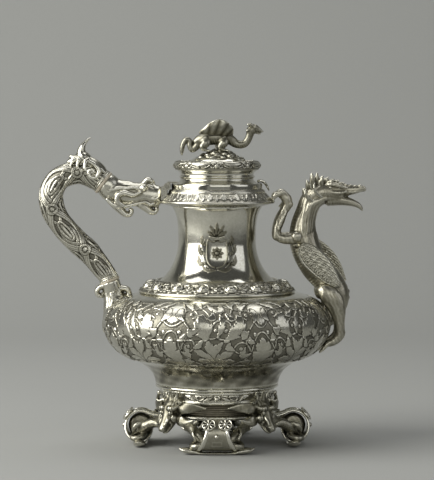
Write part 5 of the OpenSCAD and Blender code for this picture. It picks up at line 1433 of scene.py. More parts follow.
@dataclass
class DragonSpout:
    """A dragon that stands on the belly and grips the rim: body and head, mane, wings and legs."""

    lip: float = 193.5
    rim: float = 46.4
    belly: float = 91.0
    belly_z: float = 98.0
    trunk: tuple = ((-6, 0, 3, 9, 9.5), (-1, 0, 7.5, 9.6, 10), (3, 0, 15, 10.6, 10.4), (4, 0, 24, 10.8, 10.6),
        (-2.2, 0, 34.4, 11.4, 11), (-11.2, 0, 45, 11.8, 11.6), (-18, 0, 57, 11.8, 11.8),
        (-21.5, 0, 69.5, 11.6, 11.2), (-21.8, 0, 81, 10, 9.4), (-19.2, 0, 92, 8.6, 8.4),
        (-15, 0, 102, 8.8, 8.4), (-7, 0, 107.6, 8.8, 8.4), (2, 0, 107.6, 7.6, 7.2), (9, 0, 106.6, 5.4, 5.8))

    def build(self) -> None:
        """Builds the dragon's pieces from the body outwards."""
        body = self.body_form()
        dress(cast("dragon_body", body, 0.56, 3, 1.8, detail=self.skin), "spout_dragon",
            finish=Finish.BRUSHED)
        dress(cast("dragon_crest", self.mane_form(), 0.46, 2, 1.3), "dragon_mane", finish=Finish.OXIDISED)
        near, far = self.wing_form(0, 0), self.wing_form(4, 5)
        for name, form in (("wing_near", near.flipped()), ("wing_far", far)):
            dress(made(f"feathered_{name}", form, 1, 0.8), name, finish=Finish.FEATHERED)
        fore, hind = self.foreleg_form(), self.hind_leg_form()
        for name, form in (("foreleg_near", fore.flipped()), ("foreleg_far", fore),
                ("hind_leg_near", hind.flipped()), ("hind_leg_far", hind)):
            dress(cast(f"clawed_{name}", form, 0.52, 4, 1.7, detail=self.leg_skin), name,
                finish=Finish.BRUSHED)

    def body_form(self) -> Form:
        """Trunk and neck as one limb, with a beak, a hooked jaw, brows, cheek folds and back plates.

        Returns:
            The form.
        """
        form = Form().limb(on_spout(self.trunk), 44, 9)
        form.limb(on_spout([(-4, 0, 108.8, 7.2, 7.2), (4, 0, 109.8, 6.6, 6.6), (11, 0, 110.2, 5.2, 5.6),
            (18, 0, 110.6, 3.8, 4.6), (24, 0, 111.4, 2.8, 3.6), (28, 0, 111, 1.9, 2.6)]), 28, 8)
        form.limb(on_spout([(-2, 0, 103, 5.8, 6.6), (8, 0, 102, 4.4, 5.4), (16, 0, 100.2, 3.2, 4.2),
            (21.8, 0, 97.8, 2.3, 3), (24.6, 0, 95.2, 1.5, 1.9), (25.7, 0, 92.8, 0.6, 0.7)]), 24, 8)
        side = Form()
        # eye under a heavy brow, and the row of curls along the beak to the nostril's knob
        side.blob((95.0, 5.4, 207.4), (2.6, 1.9, 2.0)).blob((96.4, 6.6, 206.8), (1.3, 0.9, 1.2))
        side.limb(on_spout([(-4, 4.2, 115, 1.3, 1.5), (2, 6, 115.2, 1.7, 1.8), (8, 5.8, 113.8, 1.5, 1.5),
            (13, 4.2, 112.4, 0.9, 1)]), 18, 8)
        side.limb(on_spout([(0, 6.4, 108.8, 1.1, 1.2), (6, 6.4, 108.2, 1.3, 1.3), (12, 5.4, 109, 0.9, 0.9)]),
            14, 7)
        for x, z, r in ((12.6, 114, 1.7), (16.4, 113.6, 1.6), (20, 113.4, 1.5), (23.6, 113.6, 1.6),
                (26.6, 112.2, 1.9)):
            side.blob(on_spout([(x, 2.2 if x < 26 else 1.5, z)])[0], (r, 1.3, r))
        side.limb(on_spout([(12, 4.6, 108.4, 0.8, 0.9), (19, 3.9, 108.8, 0.8, 0.8),
            (26, 2.6, 110.2, 0.6, 0.6)]), 14, 6)
        # muscles that run from the jaw down the neck, and the folds of the cheek
        for k in range(7):
            u = k / 6
            side.limb(on_spout([(7 - 15 * u, 4.4 + 1.2 * np.sin(3 * u), 103.6 + 3.2 * u, 0.8, 1),
                (-3.4 - 13.4 * u, 6.2 + 1.4 * np.sin(3 * u), 103.2 - 1.4 * u, 1.4, 1.5),
                (-11.4 - 10.6 * u, 6 + 2 * np.sin(3 * u), 97 - 3 * u, 1.5, 1.7),
                (-14.8 - 10.6 * u, 6.4 + 2.2 * np.sin(3 * u), 87 - 2 * u, 1.3, 1.6),
                (-15.6 - 11.2 * u, 7.4 + 2.4 * np.sin(3 * u), 76 - 4 * u, 1, 1.3),
                (-19 - 8 * u, 8.6 + 1.6 * np.sin(3 * u), 66 - 2 * u, 0.5, 0.8)]), 14, 7)
        side.blob(on_spout([(-27.5, 9.4, 66)])[0], (3.4, 2.6, 3.4))
        form.add(side.both_sides())
        for t in np.linspace(0.20, 0.60, 13):
            x, _, z, depth, _ = spline(on_spout(self.trunk), 100)[int(t * 99)]
            form.blob((x + 0.95 * depth * (1 if z < 160 else 0.8), 0, z + 1.0), (1.4, 0.9, 2.2), 12)
        return form

    def skin(self, p: Array, n: Array) -> Array:
        """Body relief: ribs across the chest, streaks along the neck and fine scales on the flanks.

        Args:
            p: points. n: normals.

        Returns:
            Height for each point.
        """
        spine = spline(on_spout(self.trunk), 160)
        nearest = np.argmin(np.hypot(p[:, None, 0] - spine[None, :, 0], p[:, None, 2] - spine[None, :, 2]),
            axis=1)
        s = lengths(spine[:, :3])[nearest]
        front = step_up(-n[:, 0] - 0.25 * n[:, 2], 0.35, 0.75)
        front = front * step_up(s, 22, 34) * (1 - step_up(s, 96, 108))
        ribs = 0.22 * (np.abs(np.sin(np.pi * s / 2.4)) ** 0.6 - 0.5) * front
        turn = np.arctan2(p[:, 1], (p[:, 0] - spine[nearest, 0]) * 0.8 + 1e-6)
        neck = step_up(s, 62, 76) * (1 - step_up(s, 122, 134))
        streaks = 0.12 * np.sin(13 * turn + 1.6 * np.sin(s / 5.0)) + 0.05 * np.sin(31 * turn + s / 3)
        streaks = streaks * neck * (1 - front)
        flank = step_up(s, 2, 8) * (1 - step_up(s, 40, 60)) * (1 - front)
        scales = 0.04 * np.sin(s * 1.6 + p[:, 1] * 1.2) * np.sin(s * 1.6 - p[:, 1] * 1.2) * flank
        return ribs + streaks + scales

    def leg_skin(self, p: Array, n: Array) -> Array:
        """Sinews along the legs: a low sine across the leg."""
        return 0.05 * np.sin(1.9 * p[:, 0] + 0.7 * p[:, 2] + 0.8 * np.sin(0.9 * p[:, 2]))

    def mane_form(self) -> Form:
        """Leafy plates in pairs that lean back along the head, with curls at their feet and a ruff.

        Returns:
            The form.
        """
        side = Form()
        locks = ((-19, 101, -3, 11), (-16.6, 104, -2.6, 15), (-14, 107, -1, 18), (-11, 109, 0.4, 16),
            (-8, 110, 2, 12.4), (-5, 111.4, 3.4, 10), (-2, 112, 5, 7.6), (1.4, 112.6, 5.6, 6),
            (5, 112, 6.6, 4.4))
        for k, (x, z, sweep, rise) in enumerate(locks):
            y = 1.4 if k % 2 else 3.0
            side.limb(on_spout([(x, y, z - 3, 2.3, 2.2),
                (x + 0.2 * sweep, y + 1.4, z + 0.35 * rise, 2.5, 1.6),
                (x + 0.6 * sweep, y + 2.4, z + 0.75 * rise, 1.8, 1.1),
                (x + sweep, y + 2, z + rise, 0.5, 0.4)]), 16, 7,
                shape=lambda a, t: 1 + 0.16 * np.cos(4 * a + 10 * t))
            side.blob(on_spout([(x + 1.8, y + 2.6, z + 0.5)])[0], (1.4, 1.1, 1.3), 10)
        side.limb(on_spout([(-12, 7.4, 99, 1.5, 1.1), (-17, 9, 102.4, 1.8, 0.9),
            (-20.4, 9.4, 107.6, 1.4, 0.8), (-20, 8.8, 112, 0.4, 0.4)]), 14, 7)
        side.limb(on_spout([(-7, 7.8, 104, 1.4, 1), (-11.6, 9.2, 108, 1.6, 0.9), (-13.6, 9.4, 113.4, 1, 0.7),
            (-12.6, 8.6, 117, 0.4, 0.4)]), 14, 7)
        return side.both_sides()

    def wing_form(self, lift: float, out: float) -> Form:
        """A folded wing as a feathered sheet: coverts, secondaries and long pinions behind a thick arm.

        Args:
            lift: how much higher it stands, in hundredths of the way from belly to rim.
            out: how much further from the axis it stands, in millimetres.

        Returns:
            The closed sheet on the far side.
        """
        lead, trail = (spline(on_spout([(x + out, 0, z + lift) for x, z in line]), 160)
            for line in (((-24.6, 66), (-26.4, 60), (-23.6, 49.4), (-15.4, 40.6), (-5, 33), (5.6, 27.8)),
            ((-22.6, 67.4), (-17, 66.2), (-9, 61), (-1, 52.6), (4.6, 42), (8.4, 30))))
        v = np.linspace(0, 1, 84)
        u = np.linspace(0, 1, 160)[:, None]
        sheet = lead[:, None] * (1 - v)[None, :, None] + trail[:, None] * v[None, :, None]
        length, width = 44.0, 18.0
        r = Relief(*np.broadcast_arrays(u * length, v[None, :] * width))
        r.tone[:] = 0.5
        for k in range(9):
            x = 1.0 + 4.2 * k
            r.leaf([(x, 10), (x + 8, 14.4), (x + 19, 18.6)], 1.9, 0.85, 4.0, 0.04)
        for k in range(9):
            x = 4.2 * k
            r.leaf([(x, 6.4), (x + 6, 9.4), (x + 13.5, 13.4)], 1.7, 1.1, 3.0, 0.04)
        for row, (start, height) in enumerate(((2.4, 1.45), (4.6, 1.28))):
            for k in range(13):
                x = 3.0 * k + 1.4 * row
                r.leaf([(x, start), (x + 2.6, start + 1.5), (x + 5, start + 3.2)], 1.25, height, 2.0, 0.0)
        r.stem([(0, 8), (-0.5, 2.6), (6, 1), (20, 0.9), (36, 1.2), (44, 4)], 1.35, 1.9)
        along, across = (np.clip((1 - np.abs(2 * q - 1)) * 7, 0, 1) ** 0.5 for q in (u, v[None, :]))
        edge = along * across
        scallop = 0.9 + 0.1 * np.cos(2 * np.pi * u * length / 4.2)
        bulge = 1.5 * np.sin(np.pi * np.clip(v * 1.1, 0, 1))[None, :] * scallop
        bulge = 12.2 + bulge * np.sin(np.pi * np.clip(0.12 + 0.82 * u, 0, 1))
        y = 9.6 + (bulge - 9.6 + r.height) * edge
        outer, inner = sheet.copy(), sheet.copy()
        outer[..., 1] = y
        inner[..., 1] = 9.5 - 0.2 * edge if lift == 0 else 9.6 + (bulge - 11.6 - 0.8 * r.height) * edge
        shade = 0.62 * r.tone - 0.1
        tone = np.concatenate([shade, shade[:, ::-1]], 1)
        loop = np.concatenate([outer, inner[:, ::-1]], 1)
        return Form().grid(capped(loop), wrap_v=True, tone=np.concatenate([tone[:1], tone, tone[-1:]]))

    def foreleg_form(self) -> Form:
        """A foreleg: shoulder, elbow, forearm and a paw of three knuckled claws over the rim's lip.

        Returns:
            The form on the far side.
        """
        g, b, z = self.rim + 1.6, self.belly, self.lip
        form = Form().limb([(b - 26, 9.5, z - 27.6, 6, 4.4), (b - 32, 11.2, z - 28.6, 4.7, 4.1),
            (b - 38, 11.2, z - 28.6, 4.1, 3.8), (b - 42.6, 11, z - 26.4, 3.7, 3.6),
            (b - 43.2, 10.8, z - 21.6, 3.5, 3.5), (b - 40.8, 10.4, z - 14, 3.9, 3.7),
            (b - 37.6, 9.6, z - 7, 3.3, 3.3), (g + 8.2, 9, z - 1.6, 3.8, 3.7),
            (g + 7.2, 8.6, z + 3.6, 4.2, 4.2), (g + 3.6, 8.4, z + 6.2, 3.2, 3.8)], 30, 8)
        form.blob((b - 27.6, 13.0, z - 27.0), (4.6, 3.2, 4.2)).blob((b - 43.8, 10.8, z - 26.8),
            (3.4, 3.3, 3.4)).blob((g + 9.4, 9.4, z - 1.2), (3.6, 3.4, 3.2))
        form.limb(rows_at(b, z, [(-42, 13.8, -21, 1, 1.2), (-39.2, 13.4, -13.4, 1.5, 1.4),
            (-35.8, 12.2, -6.8, 0.9, 0.9)]), 12, 6)
        for s in (-1, 0, 1):
            form.limb(rows_at(g, z, [(7, 8.4 + 1.5 * s, 6, 2.6, 1.9), (3.4, 8.4 + 2.8 * s, 8, 3, 1.9),
                (0.8, 8.4 + 3.3 * s, 7, 2.1, 1.7), (-1.8, 8.4 + 3.5 * s, 5.6, 2.3, 1.7),
                (-3.2, 8.4 + 3.6 * s, 2.6, 1.2, 1.2), (-2.4, 8.4 + 3.6 * s, 0.7, 0.5, 0.5)]), 14, 6)
        form.limb(rows_at(g, z, [(7, 7, 1.6, 1.6, 1.6), (4, 5.4, -2, 1.4, 1.4), (1.6, 5, -3.4, 0.5, 0.5)]),
            12, 6)
        return form

    def hind_leg_form(self) -> Form:
        """A hind leg: a full haunch, a shank with a heel, and a clawed foot that stands on the belly.

        Returns:
            The form on the far side.
        """
        b, z = self.belly, self.belly_z
        form = Form().limb(rows_at(b, z, [(-11, 9, 23.2, 4.4, 3), (-5.4, 11.6, 23.8, 7.4, 5.2),
            (1.4, 12.2, 18.2, 8.2, 5.6), (5.2, 11.8, 9.6, 6.6, 5), (6.4, 11, 1.4, 4.6, 4.1),
            (7, 10.4, -5.6, 3.9, 3.8), (6, 10.4, -11, 4.1, 3.9), (1.8, 10.4, -15, 3.5, 3.9),
            (-2.6, 10.4, -16.6, 3, 3.7)]), 32, 9)
        form.limb(rows_at(b, z, [(9.6, 10.4, -4, 1, 1.4), (10.4, 10.4, -8.6, 1.2, 1.5),
            (9.4, 10.4, -12.4, 0.8, 1)]), 12, 6)
        for s in (-1, 0, 1):
            form.limb(rows_at(b, z,
                [(-0.6, 10.4 + 2 * s, -15.4, 1.9, 1.5), (-3.6, 10.4 + 3.4 * s, -17.6, 1.9, 1.5),
                (-6.6, 10.4 + 3.8 * s, -21.2, 1.3, 1.1), (-9.6, 10.4 + 4 * s, -24.2, 0.5, 0.5)]), 14, 7)
        return form


# ---- The handle --------------------------------------------------------------------------------------


@dataclass
class Handle:
    """A scroll handle: strapwork grip between ivory discs, two sockets and a thumb leaf."""

    top: tuple[float, float] = (-90.0, 208.5)
    low: tuple[float, float] = (-85.6, 129.6)
    top_way: tuple[float, float] = (-0.7915, 0.6112)
    low_way: tuple[float, float] = (-0.3903, 0.9207)
    reach: float = 43.4
    grip: float = 19.0
    top_disc: float = 20.5
    low_disc: float = 16.4
    stack: float = 5.2
    lip: float = 193.5
    rim: float = 46.4
    # the grip's relief: points round, ring spacing, millimetres for a radian, depth of its ground, its repeat
    sides: int = 112
    ring_step: float = 0.45
    sheet_r: float = 9.6
    sunk: float = 1.05
    pitch: float = 42.0
    shares: tuple = ((0.36, 1.11, 1.04), (0.58, 1.11, 1), (0.84, 1.05, 1), (0.98, 0.93, 1.02),
        (0.99, 0.81, 1.04), (0.93, 0.7, 1.02), (0.82, 0.6, 1), (0.67, 0.5, 1), (0.47, 0.39, 1),
        (0.27, 0.29, 0.98))

    def build(self) -> None:
        """Builds the grip, its collars, both sockets and the leaf."""
        self.build_grip()
        for name, at, way, size in (("upper", self.top, self.top_way, self.top_disc),
                ("lower", self.low, self.low_way, self.low_disc)):
            dress(made(f"{name}_collar", self.placed(self.collar_form(size), at, way), 1, 0.5),
                f"{name}_ferrule")
            disc = made(f"{name}_ivory", self.placed(self.disc_form(size), at, way), 1, 0.3)
            disc.data.materials.append(bpy.data.materials.get("turned_ivory") or ivory())
            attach(disc, "pot")
            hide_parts(f"{name}_insulator")
        dress(cast("upper_beast_socket", self.upper_socket_form(), 0.56, 3, 1.6), "upper_socket")
        dress(cast("lower_leaf_socket", self.lower_socket_form(), 0.52, 3, 1.5), "lower_socket")
        dress(cast("thumb_acanthus", self.leaf_form(), 0.48, 3, 1.6), "thumb_leaf")

    def placed(self, form: Form, at: tuple[float, float], way: tuple[float, float]) -> Form:
        """A form made along Z, turned to a way in the XZ plane and moved to a place in it."""
        angle = float(np.degrees(np.arctan2(way[0], way[1])))
        return form.turned(angle, 1).moved(at[0], 0, at[1])

    def collar_form(self, size: float) -> Form:
        """A ferrule of two round threads with a hollow between, over the ivory disc.

        Args:
            size: the disc's diameter.

        Returns:
            The form, along Z.
        """
        a = np.linspace(-np.pi / 2, np.pi / 2, 12)
        r = size / 2 - 0.8
        line = np.concatenate([[[1.0, 2.2]], np.stack([r + 0.75 * np.cos(a), 2.95 + 0.75 * np.sin(a)], 1),
            np.stack([r - 0.4 + 0.75 * np.cos(a), 4.45 + 0.75 * np.sin(a)], 1), [[1.0, 5.2]]])
        return revolved(line, 96)

    def disc_form(self, size: float) -> Form:
        """An ivory disc with a softened edge.

        Args:
            size: its diameter.

        Returns:
            The form, along Z.
        """
        a = np.linspace(-np.pi / 2, np.pi / 2, 12)
        line = np.concatenate([[[1.0, 0.02]],
            np.stack([size / 2 - 0.5 + 0.5 * np.cos(a), 1.1 + 1.06 * np.sin(a)], 1), [[1.0, 2.18]]])
        return revolved(line, 96)

    def rows(self) -> list[tuple[float, ...]]:
        """The grip's rows, worked out from the two ends as the CAD does.

        Returns:
            A row for each place, from inside the upper ferrule to inside the lower one.
        """
        drop = self.top[1] - self.low[1]
        seats = ((self.top, self.top_way, self.top_disc), (self.low, self.low_way, self.low_disc))
        ends, hidden = ([(p[0] + w[0] * far, 0, p[1] + w[1] * far, share * d, share * d) for p, w, d in seats]
            for far, share in ((self.stack, 0.47), (self.stack - 1.8, 0.46)))
        middle = [(self.top[0] - g[0] * self.reach, 0, self.low[1] + g[1] * drop, g[2] * self.grip / 2,
            g[2] * self.grip / 2) for g in self.shares]
        return [hidden[0], ends[0], *middle, ends[1], hidden[1]]

    def build_grip(self) -> None:
        """The grip: a tube of the grip's radius less a sunk ground, with interlaced bands raised on it.

        The sheet of the relief is half the way round (x, 0 on the outer ridge) by the way along (y).
        """
        q = spline(self.rows(), 900)
        s = lengths(q[:, :3])
        at = np.linspace(0, s[-1], int(s[-1] / self.ring_step))
        q = np.stack([np.interp(at, s, q[:, k]) for k in range(5)], 1)
        spine, radius = q[:, :3], q[:, 3]
        way = unit(np.gradient(spine, axis=0))
        across = np.array([0.0, 1.0, 0.0])
        out = np.cross(way, across)
        a = np.linspace(0, 2 * np.pi, self.sides, endpoint=False)
        half = self.sheet_r * np.abs(np.where(a > np.pi, 2 * np.pi - a, a))
        w = relief(half, at)
        self.strapwork(w, float(s[-1]))
        ends = step_up(np.minimum(at, s[-1] - at), 0.4, 1.4)[:, None]
        h = (w.height - self.sunk) * ends + 0.35 * (1 - ends)
        r = radius[:, None] + h
        p = spine[:, None] + (r * np.cos(a))[..., None] * out[:, None] + (r * np.sin(a))[..., None] * across
        cap0, cap1 = (c + 0.02 * (ring - c) for c, ring in ((spine[:1, None], p[:1]),
            (spine[-1:, None], p[-1:])))
        tone = np.concatenate([w.tone[:1], w.tone, w.tone[-1:]])
        form = Form().grid(np.concatenate([cap0, p, cap1])[:, ::-1], wrap_v=True, tone=tone[:, ::-1])
        dress(made("strapwork_grip", form, 1, 0.7), "handle_grip", "grip_straps")

    def strapwork(self, w: Relief, length: float) -> None:
        """Bands on the grip: two that cross and part in long eyes, with threads in the eyes and rings.

        Args:
            w: the relief: x from the outer ridge, y along the grip.
            length: of the grip.
        """
        w.tone[:] = 0.5
        pitch, s = self.pitch, np.arange(0.0, length + 4, 5.25)
        for k in (-1, 1):
            w.band(list(zip(15 + k * 5.6 * np.sin(2 * np.pi * (s + 7) / pitch), s)), 1.3, 0.95, 1, 4)
            w.band(list(zip(15 + k * 12.8 + k * 1.2 * np.sin(2 * np.pi * s / pitch), s)), 1.7, 1.1, 1, 4)
        for y in np.arange(0.0, length, pitch):
            turn = np.linspace(0, 2 * np.pi, 13)
            for x0, y0, wide, tall in ((15, y, 3.2, 9), (4.6, y + 21, 2.2, 7.5), (25.4, y + 21, 2.2, 7.5)):
                w.band(list(zip(x0 + wide * np.cos(turn), y0 + tall * np.sin(turn))), 1.0, 1.15, 1, 4)
            w.stem([(15, y - 6), (15, y), (15, y + 6)], 1.2, 0.9)
        for k in (-1, 1):
            w.band(list(zip(15 + k * 10.4 * np.cos(np.pi * s / pitch), s)), 2.6, 1.4, 2, 4)
        for y in np.arange(21.0, length, pitch):
            turn = np.linspace(0, 2 * np.pi, 13)
            w.band(list(zip(15 + 3.9 * np.cos(turn), y + 3.6 * np.sin(turn))), 1.1, 1.5, 1, 4)
            w.dome(15, y, 1.7, 1.3)

    def upper_socket_form(self) -> Form:
        """A sea beast's head that carries the grip and bites the rim: brow, gill, lips and two curls below.

        Returns:
            The form.
        """
        tx, tz = self.top
        z, r = self.lip, self.rim
        wx, wz = self.top_way
        start = [(tx + 0.4 - wx * 0.1, 0, tz - 0.2, 0.47 * self.top_disc, 0.47 * self.top_disc),
            (tx + 0.4 - wx * 3, 0, tz - wz * 3, 0.48 * self.top_disc, 0.47 * self.top_disc)]
        form = Form().limb(start + [(tx + 6, 0, tz - 5, 10.2, 9.2), (tx + 12.4, 0, z + 7.6, 10.6, 8.8),
            (tx + 21.4, 0, z + 6.6, 9.8, 8.2), (-r - 12, 0, z + 6, 9.6, 8), (-r - 5.4, 0, z + 5.2, 9.6, 8.4),
            (-r - 0.6, 0, z + 4.8, 8.6, 8)], 40, 8)
        # ridge over the brow with the knob over the nose
        form.limb([(tx + 4, 0, tz + 4.6, 1.8, 3.4), (tx + 12, 0, z + 16.4, 1.9, 4.2),
            (tx + 20, 0, z + 15.4, 1.8, 3.6), (tx + 27, 0, z + 13.2, 1.6, 2.6),
            (tx + 31.4, 0, z + 15.6, 2.2, 3), (-r - 9.2, 0, z + 18.2, 2.4, 3.6),
            (-r - 5.4, 0, z + 16.6, 1.8, 3), (-r - 4.4, 0, z + 13.6, 1.2, 2)], 24, 8)
        # beard and lip that curl under
        for rows in (rows_at(tx, z, [(8, 0, -0.6, 4.4, 5.4), (12.8, 0, -5.8, 3.6, 5),
                (16.2, 0, -9.2, 2.8, 4.6), (20, 0, -9.6, 2.3, 4), (21.6, 0, -6.6, 1.9, 3.4),
                (19.4, 0, -5, 1.1, 2.2)]), [(-r - 15, 0, z - 1, 4, 5.6), (-r - 10.2, 0, z - 4.4, 3.5, 5),
                (-r - 6.6, 0, z - 7.4, 2.9, 4.6), (-r - 3.2, 0, z - 7.6, 2.2, 3.8),
                (-r - 1.8, 0, z - 4.8, 1.8, 3.2), (-r - 3.6, 0, z - 3.2, 1, 2)]):
            form.limb(rows, 22, 8)
        side = Form()
        # gill: a big scroll that opens towards the rim, with two folds behind it
        side.limb([(tx + 2, 8.6, z + 3, 1.6, 1.9), (tx + 8.4, 9.2, z - 2.4, 2.2, 2.2),
            (tx + 16, 8.6, z - 3, 1.6, 1.7), (tx + 24, 8, z - 1.2, 1.4, 1.5),
            (tx + 33, 7.6, z + 0.6, 1.3, 1.4), (-r - 7, 7.8, z - 1.4, 1.4, 1.5),
            (-r - 3.6, 8, z - 0.6, 1, 1.2)], 18, 8)
        side.limb(rows_at(tx, z, [(15, 9, -2.6, 1.8, 1.8), (10.6, 10, 0.8, 2.2, 2), (11, 10, 5.8, 2.2, 2),
            (16.4, 9.8, 7.8, 2.2, 1.9), (23, 9.2, 6.2, 1.8, 1.6), (29.4, 8.8, 8.4, 1, 1)]), 18, 8)
        side.limb([(tx + 3, 8.4, tz - 6, 1.1, 1.2), (tx + 10, 8.6, z + 11.4, 1.4, 1.4),
            (tx + 18, 8, z + 11.4, 1.2, 1.3), (tx + 25, 7.4, z + 12, 1.4, 1.5),
            (-r - 13, 7.2, z + 9.4, 0.9, 1)], 18, 8)
        side.limb([(tx + 3, 5.6, tz + 0.6, 1.1, 1.4), (tx + 12, 5.6, z + 13.8, 1.3, 1.6),
            (tx + 20, 5.2, z + 13.6, 0.9, 1.1)], 16, 7)
        side.blob((-r - 12.4, 6.8, z + 11.8), (3.4, 2.5, 3.0)).blob((-r - 12.0, 8.6, z + 11.6),
            (1.6, 1.2, 1.5))
        # nostril wing and the lips that bite the rim
        side.limb([(-r - 9, 4.4, z + 13.6, 1.3, 1.4), (-r - 5.2, 5.2, z + 11.6, 1.7, 1.5),
            (-r - 3.4, 6, z + 7.6, 1.6, 1.5), (-r - 6.4, 7.4, z + 5.2, 1.2, 1.2)], 16, 7)
        side.limb([(-r - 8, 7, z + 3.6, 1, 1.2), (-r - 2.8, 7.4, z + 3, 1.5, 1.6),
            (-r - 0.4, 6.8, z + 5.4, 1.1, 1.4), (-r - 0.6, 5, z + 9, 0.9, 1.2)], 16, 7)
        return form.add(side.both_sides())

    def lower_socket_form(self) -> Form:
        """A cup with two curled ears on a leaf that runs down the belly and up the shoulder.

        Returns:
            The form.
        """
        x, top = self.low
        z = 98.0
        d = 0.5 * self.low_disc
        form = Form().limb([(x - 0.1, 0, top - 0.3, d - 0.2, d), (x + 0.9, 0, top - 3.4, d - 0.3, d - 0.2),
            (x + 2.4, 0, top - 9, d, d - 0.4), (x + 3.4, 0, z + 17, 8.4, 8.8), (x + 3.4, 0, z + 10, 8.8, 9.4),
            (x + 1.4, 0, z + 3.4, 7.4, 8), (x - 2.4, 0, z - 3.6, 4.6, 4.8), (x - 4.6, 0, z - 8.4, 1.6, 2)],
            36, 9, shape=lambda a, t: 1 + 0.05 * np.cos(8 * a) * (t > 0.25))
        form.limb(rows_at(x, z, [(4, 0, 17, 5.6, 8.6), (12, 0, 17.8, 4.4, 8), (20, 0, 18.8, 3.2, 6),
            (25.6, 0, 21, 2.2, 3.6), (28.2, 0, 23.4, 1, 1.4)]), 28, 9,
            shape=lambda a, t: 1 + 0.12 * np.sin(a) ** 2 * np.sin(20 * t))
        for rows in (rows_at(x, top, [(5, 0, -5.4, 2.8, 5.4), (10, 0, -4.8, 2.6, 5), (13.8, 0, -6, 2.5, 4.8),
                (14.8, 0, -9.4, 2.3, 4.4), (12, 0, -11.4, 2, 3.8), (10.2, 0, -9.4, 1.3, 2.8)]),
                rows_at(x, top, [(-4, 0, -2.8, 2.4, 5.4), (-8.2, 0, -4, 2.4, 5), (-10.6, 0, -6.8, 2.2, 4.6),
                (-10, 0, -10.4, 2, 4), (-7, 0, -11.2, 1.6, 3.4), (-6.8, 0, -8.8, 1, 2.2)])):
            form.limb(rows, 24, 8)
        side = Form()
        side.limb([(x + 1, 8, top - 9, 1.1, 1.3), (x + 2, 8.4, z + 16, 1.5, 1.6),
            (x - 1, 8.8, z + 9, 1.5, 1.6), (x - 3.6, 6.6, z + 1.6, 1.3, 1.3),
            (x - 4.6, 3.8, z - 5, 0.7, 0.7)], 16, 8)
        side.limb(rows_at(x, z, [(7, 8, 15.4, 1.1, 1.2), (13, 9.4, 16.6, 1.4, 1.4), (18.6, 8.2, 17, 1.2, 1.3),
            (17.6, 5.6, 20.6, 0.9, 1)]), 14, 7)
        side.limb(rows_at(x, z, [(4, 9, 10, 1.2, 1.3), (8.4, 11, 12.4, 1.5, 1.4), (12.6, 11.6, 12, 1.2, 1.2),
            (13.6, 9.6, 13.6, 0.8, 0.8)]), 14, 7)
        side.blob((x + 6.4, 8.8, z + 13.6), (1.5, 1.4, 1.5))
        return form.add(side.both_sides())

    def leaf_form(self) -> Form:
        """The thumb leaf: a sheath over the grip, a curled point and a volute to each side.

        Returns:
            The form.
        """
        x, z = self.top
        form = Form().limb(rows_at(x, z, [(0.4, 0, 8.4, 2.6, 6.6), (-4.2, 0, 12.2, 4.4, 8.4),
            (-10.4, 0, 16, 5, 9.2), (-17, 0, 18.6, 4.6, 8.8), (-23.4, 0, 19, 3.4, 7.4),
            (-28.4, 0, 17.4, 2.2, 5), (-30.4, 0, 14.4, 0.9, 2.4)]), 36, 9,
            shape=lambda a, t: 1 + 0.05 * np.cos(7 * a + 3 * t))
        form.limb(rows_at(x, z, [(-15.6, 0, 19.4, 5.4, 7.4), (-18.6, 0, 24, 4.4, 6.4),
            (-18.4, 0, 28.4, 2.9, 4.6), (-16.2, 0, 32.6, 1.7, 2.8), (-13.4, 0, 35.6, 1, 1.6),
            (-10.8, 0, 36.9, 0.4, 0.5)]), 28, 9, shape=lambda a, t: 1 + 0.08 * np.sin(a) ** 2 *
            np.sin(16 * t))
        form.limb(rows_at(x, z, [(-19.6, 0, 20.4, 3.4, 6.6), (-25.2, 0, 21.2, 2.2, 5.6),
            (-28.2, 0, 22.4, 1.1, 3.4)]), 24, 7)
        side = Form()
        # volute with its eye, and the lobes that hang from the leaf's edge
        side.limb(rows_at(x, z, [(-14, 7.4, 19, 1.5, 1.6), (-7.6, 9.2, 15.4, 1.8, 1.7),
            (-4.2, 10.2, 10, 1.9, 1.6), (-6.4, 11, 5.4, 1.8, 1.5), (-11.2, 11.2, 5.8, 1.6, 1.5),
            (-12.2, 11.2, 9.8, 1.4, 1.3), (-9.4, 11.4, 11.4, 1.1, 1), (-7.8, 11.5, 9, 0.9, 0.9)]), 18, 9)
        side.limb(rows_at(x, z, [(-12, 6.8, 20.8, 1, 1.2), (-15, 9, 17.4, 1.4, 1.4),
            (-15.6, 10.6, 12.6, 1.3, 1.3), (-13.4, 11.2, 9.6, 0.7, 0.8)]), 16, 8)
        side.limb(rows_at(x, z, [(-16, 6.4, 22, 1, 1.2), (-20.4, 8.6, 18.6, 1.4, 1.4),
            (-21.6, 10, 14.4, 1.1, 1.1), (-20, 10.4, 11.8, 0.5, 0.6)]), 16, 8)
        side.limb(rows_at(x, z, [(-21, 5.6, 21.4, 0.9, 1.1), (-25.6, 7.4, 17.4, 1.2, 1.2),
            (-27, 8.2, 13.6, 0.8, 0.8)]), 14, 7)
        side.blob((x - 9.2, 11.4, z + 9.2), (1.3, 1.1, 1.3))
        return form.add(side.both_sides())


# ---- The lid -----------------------------------------------------------------------------------------


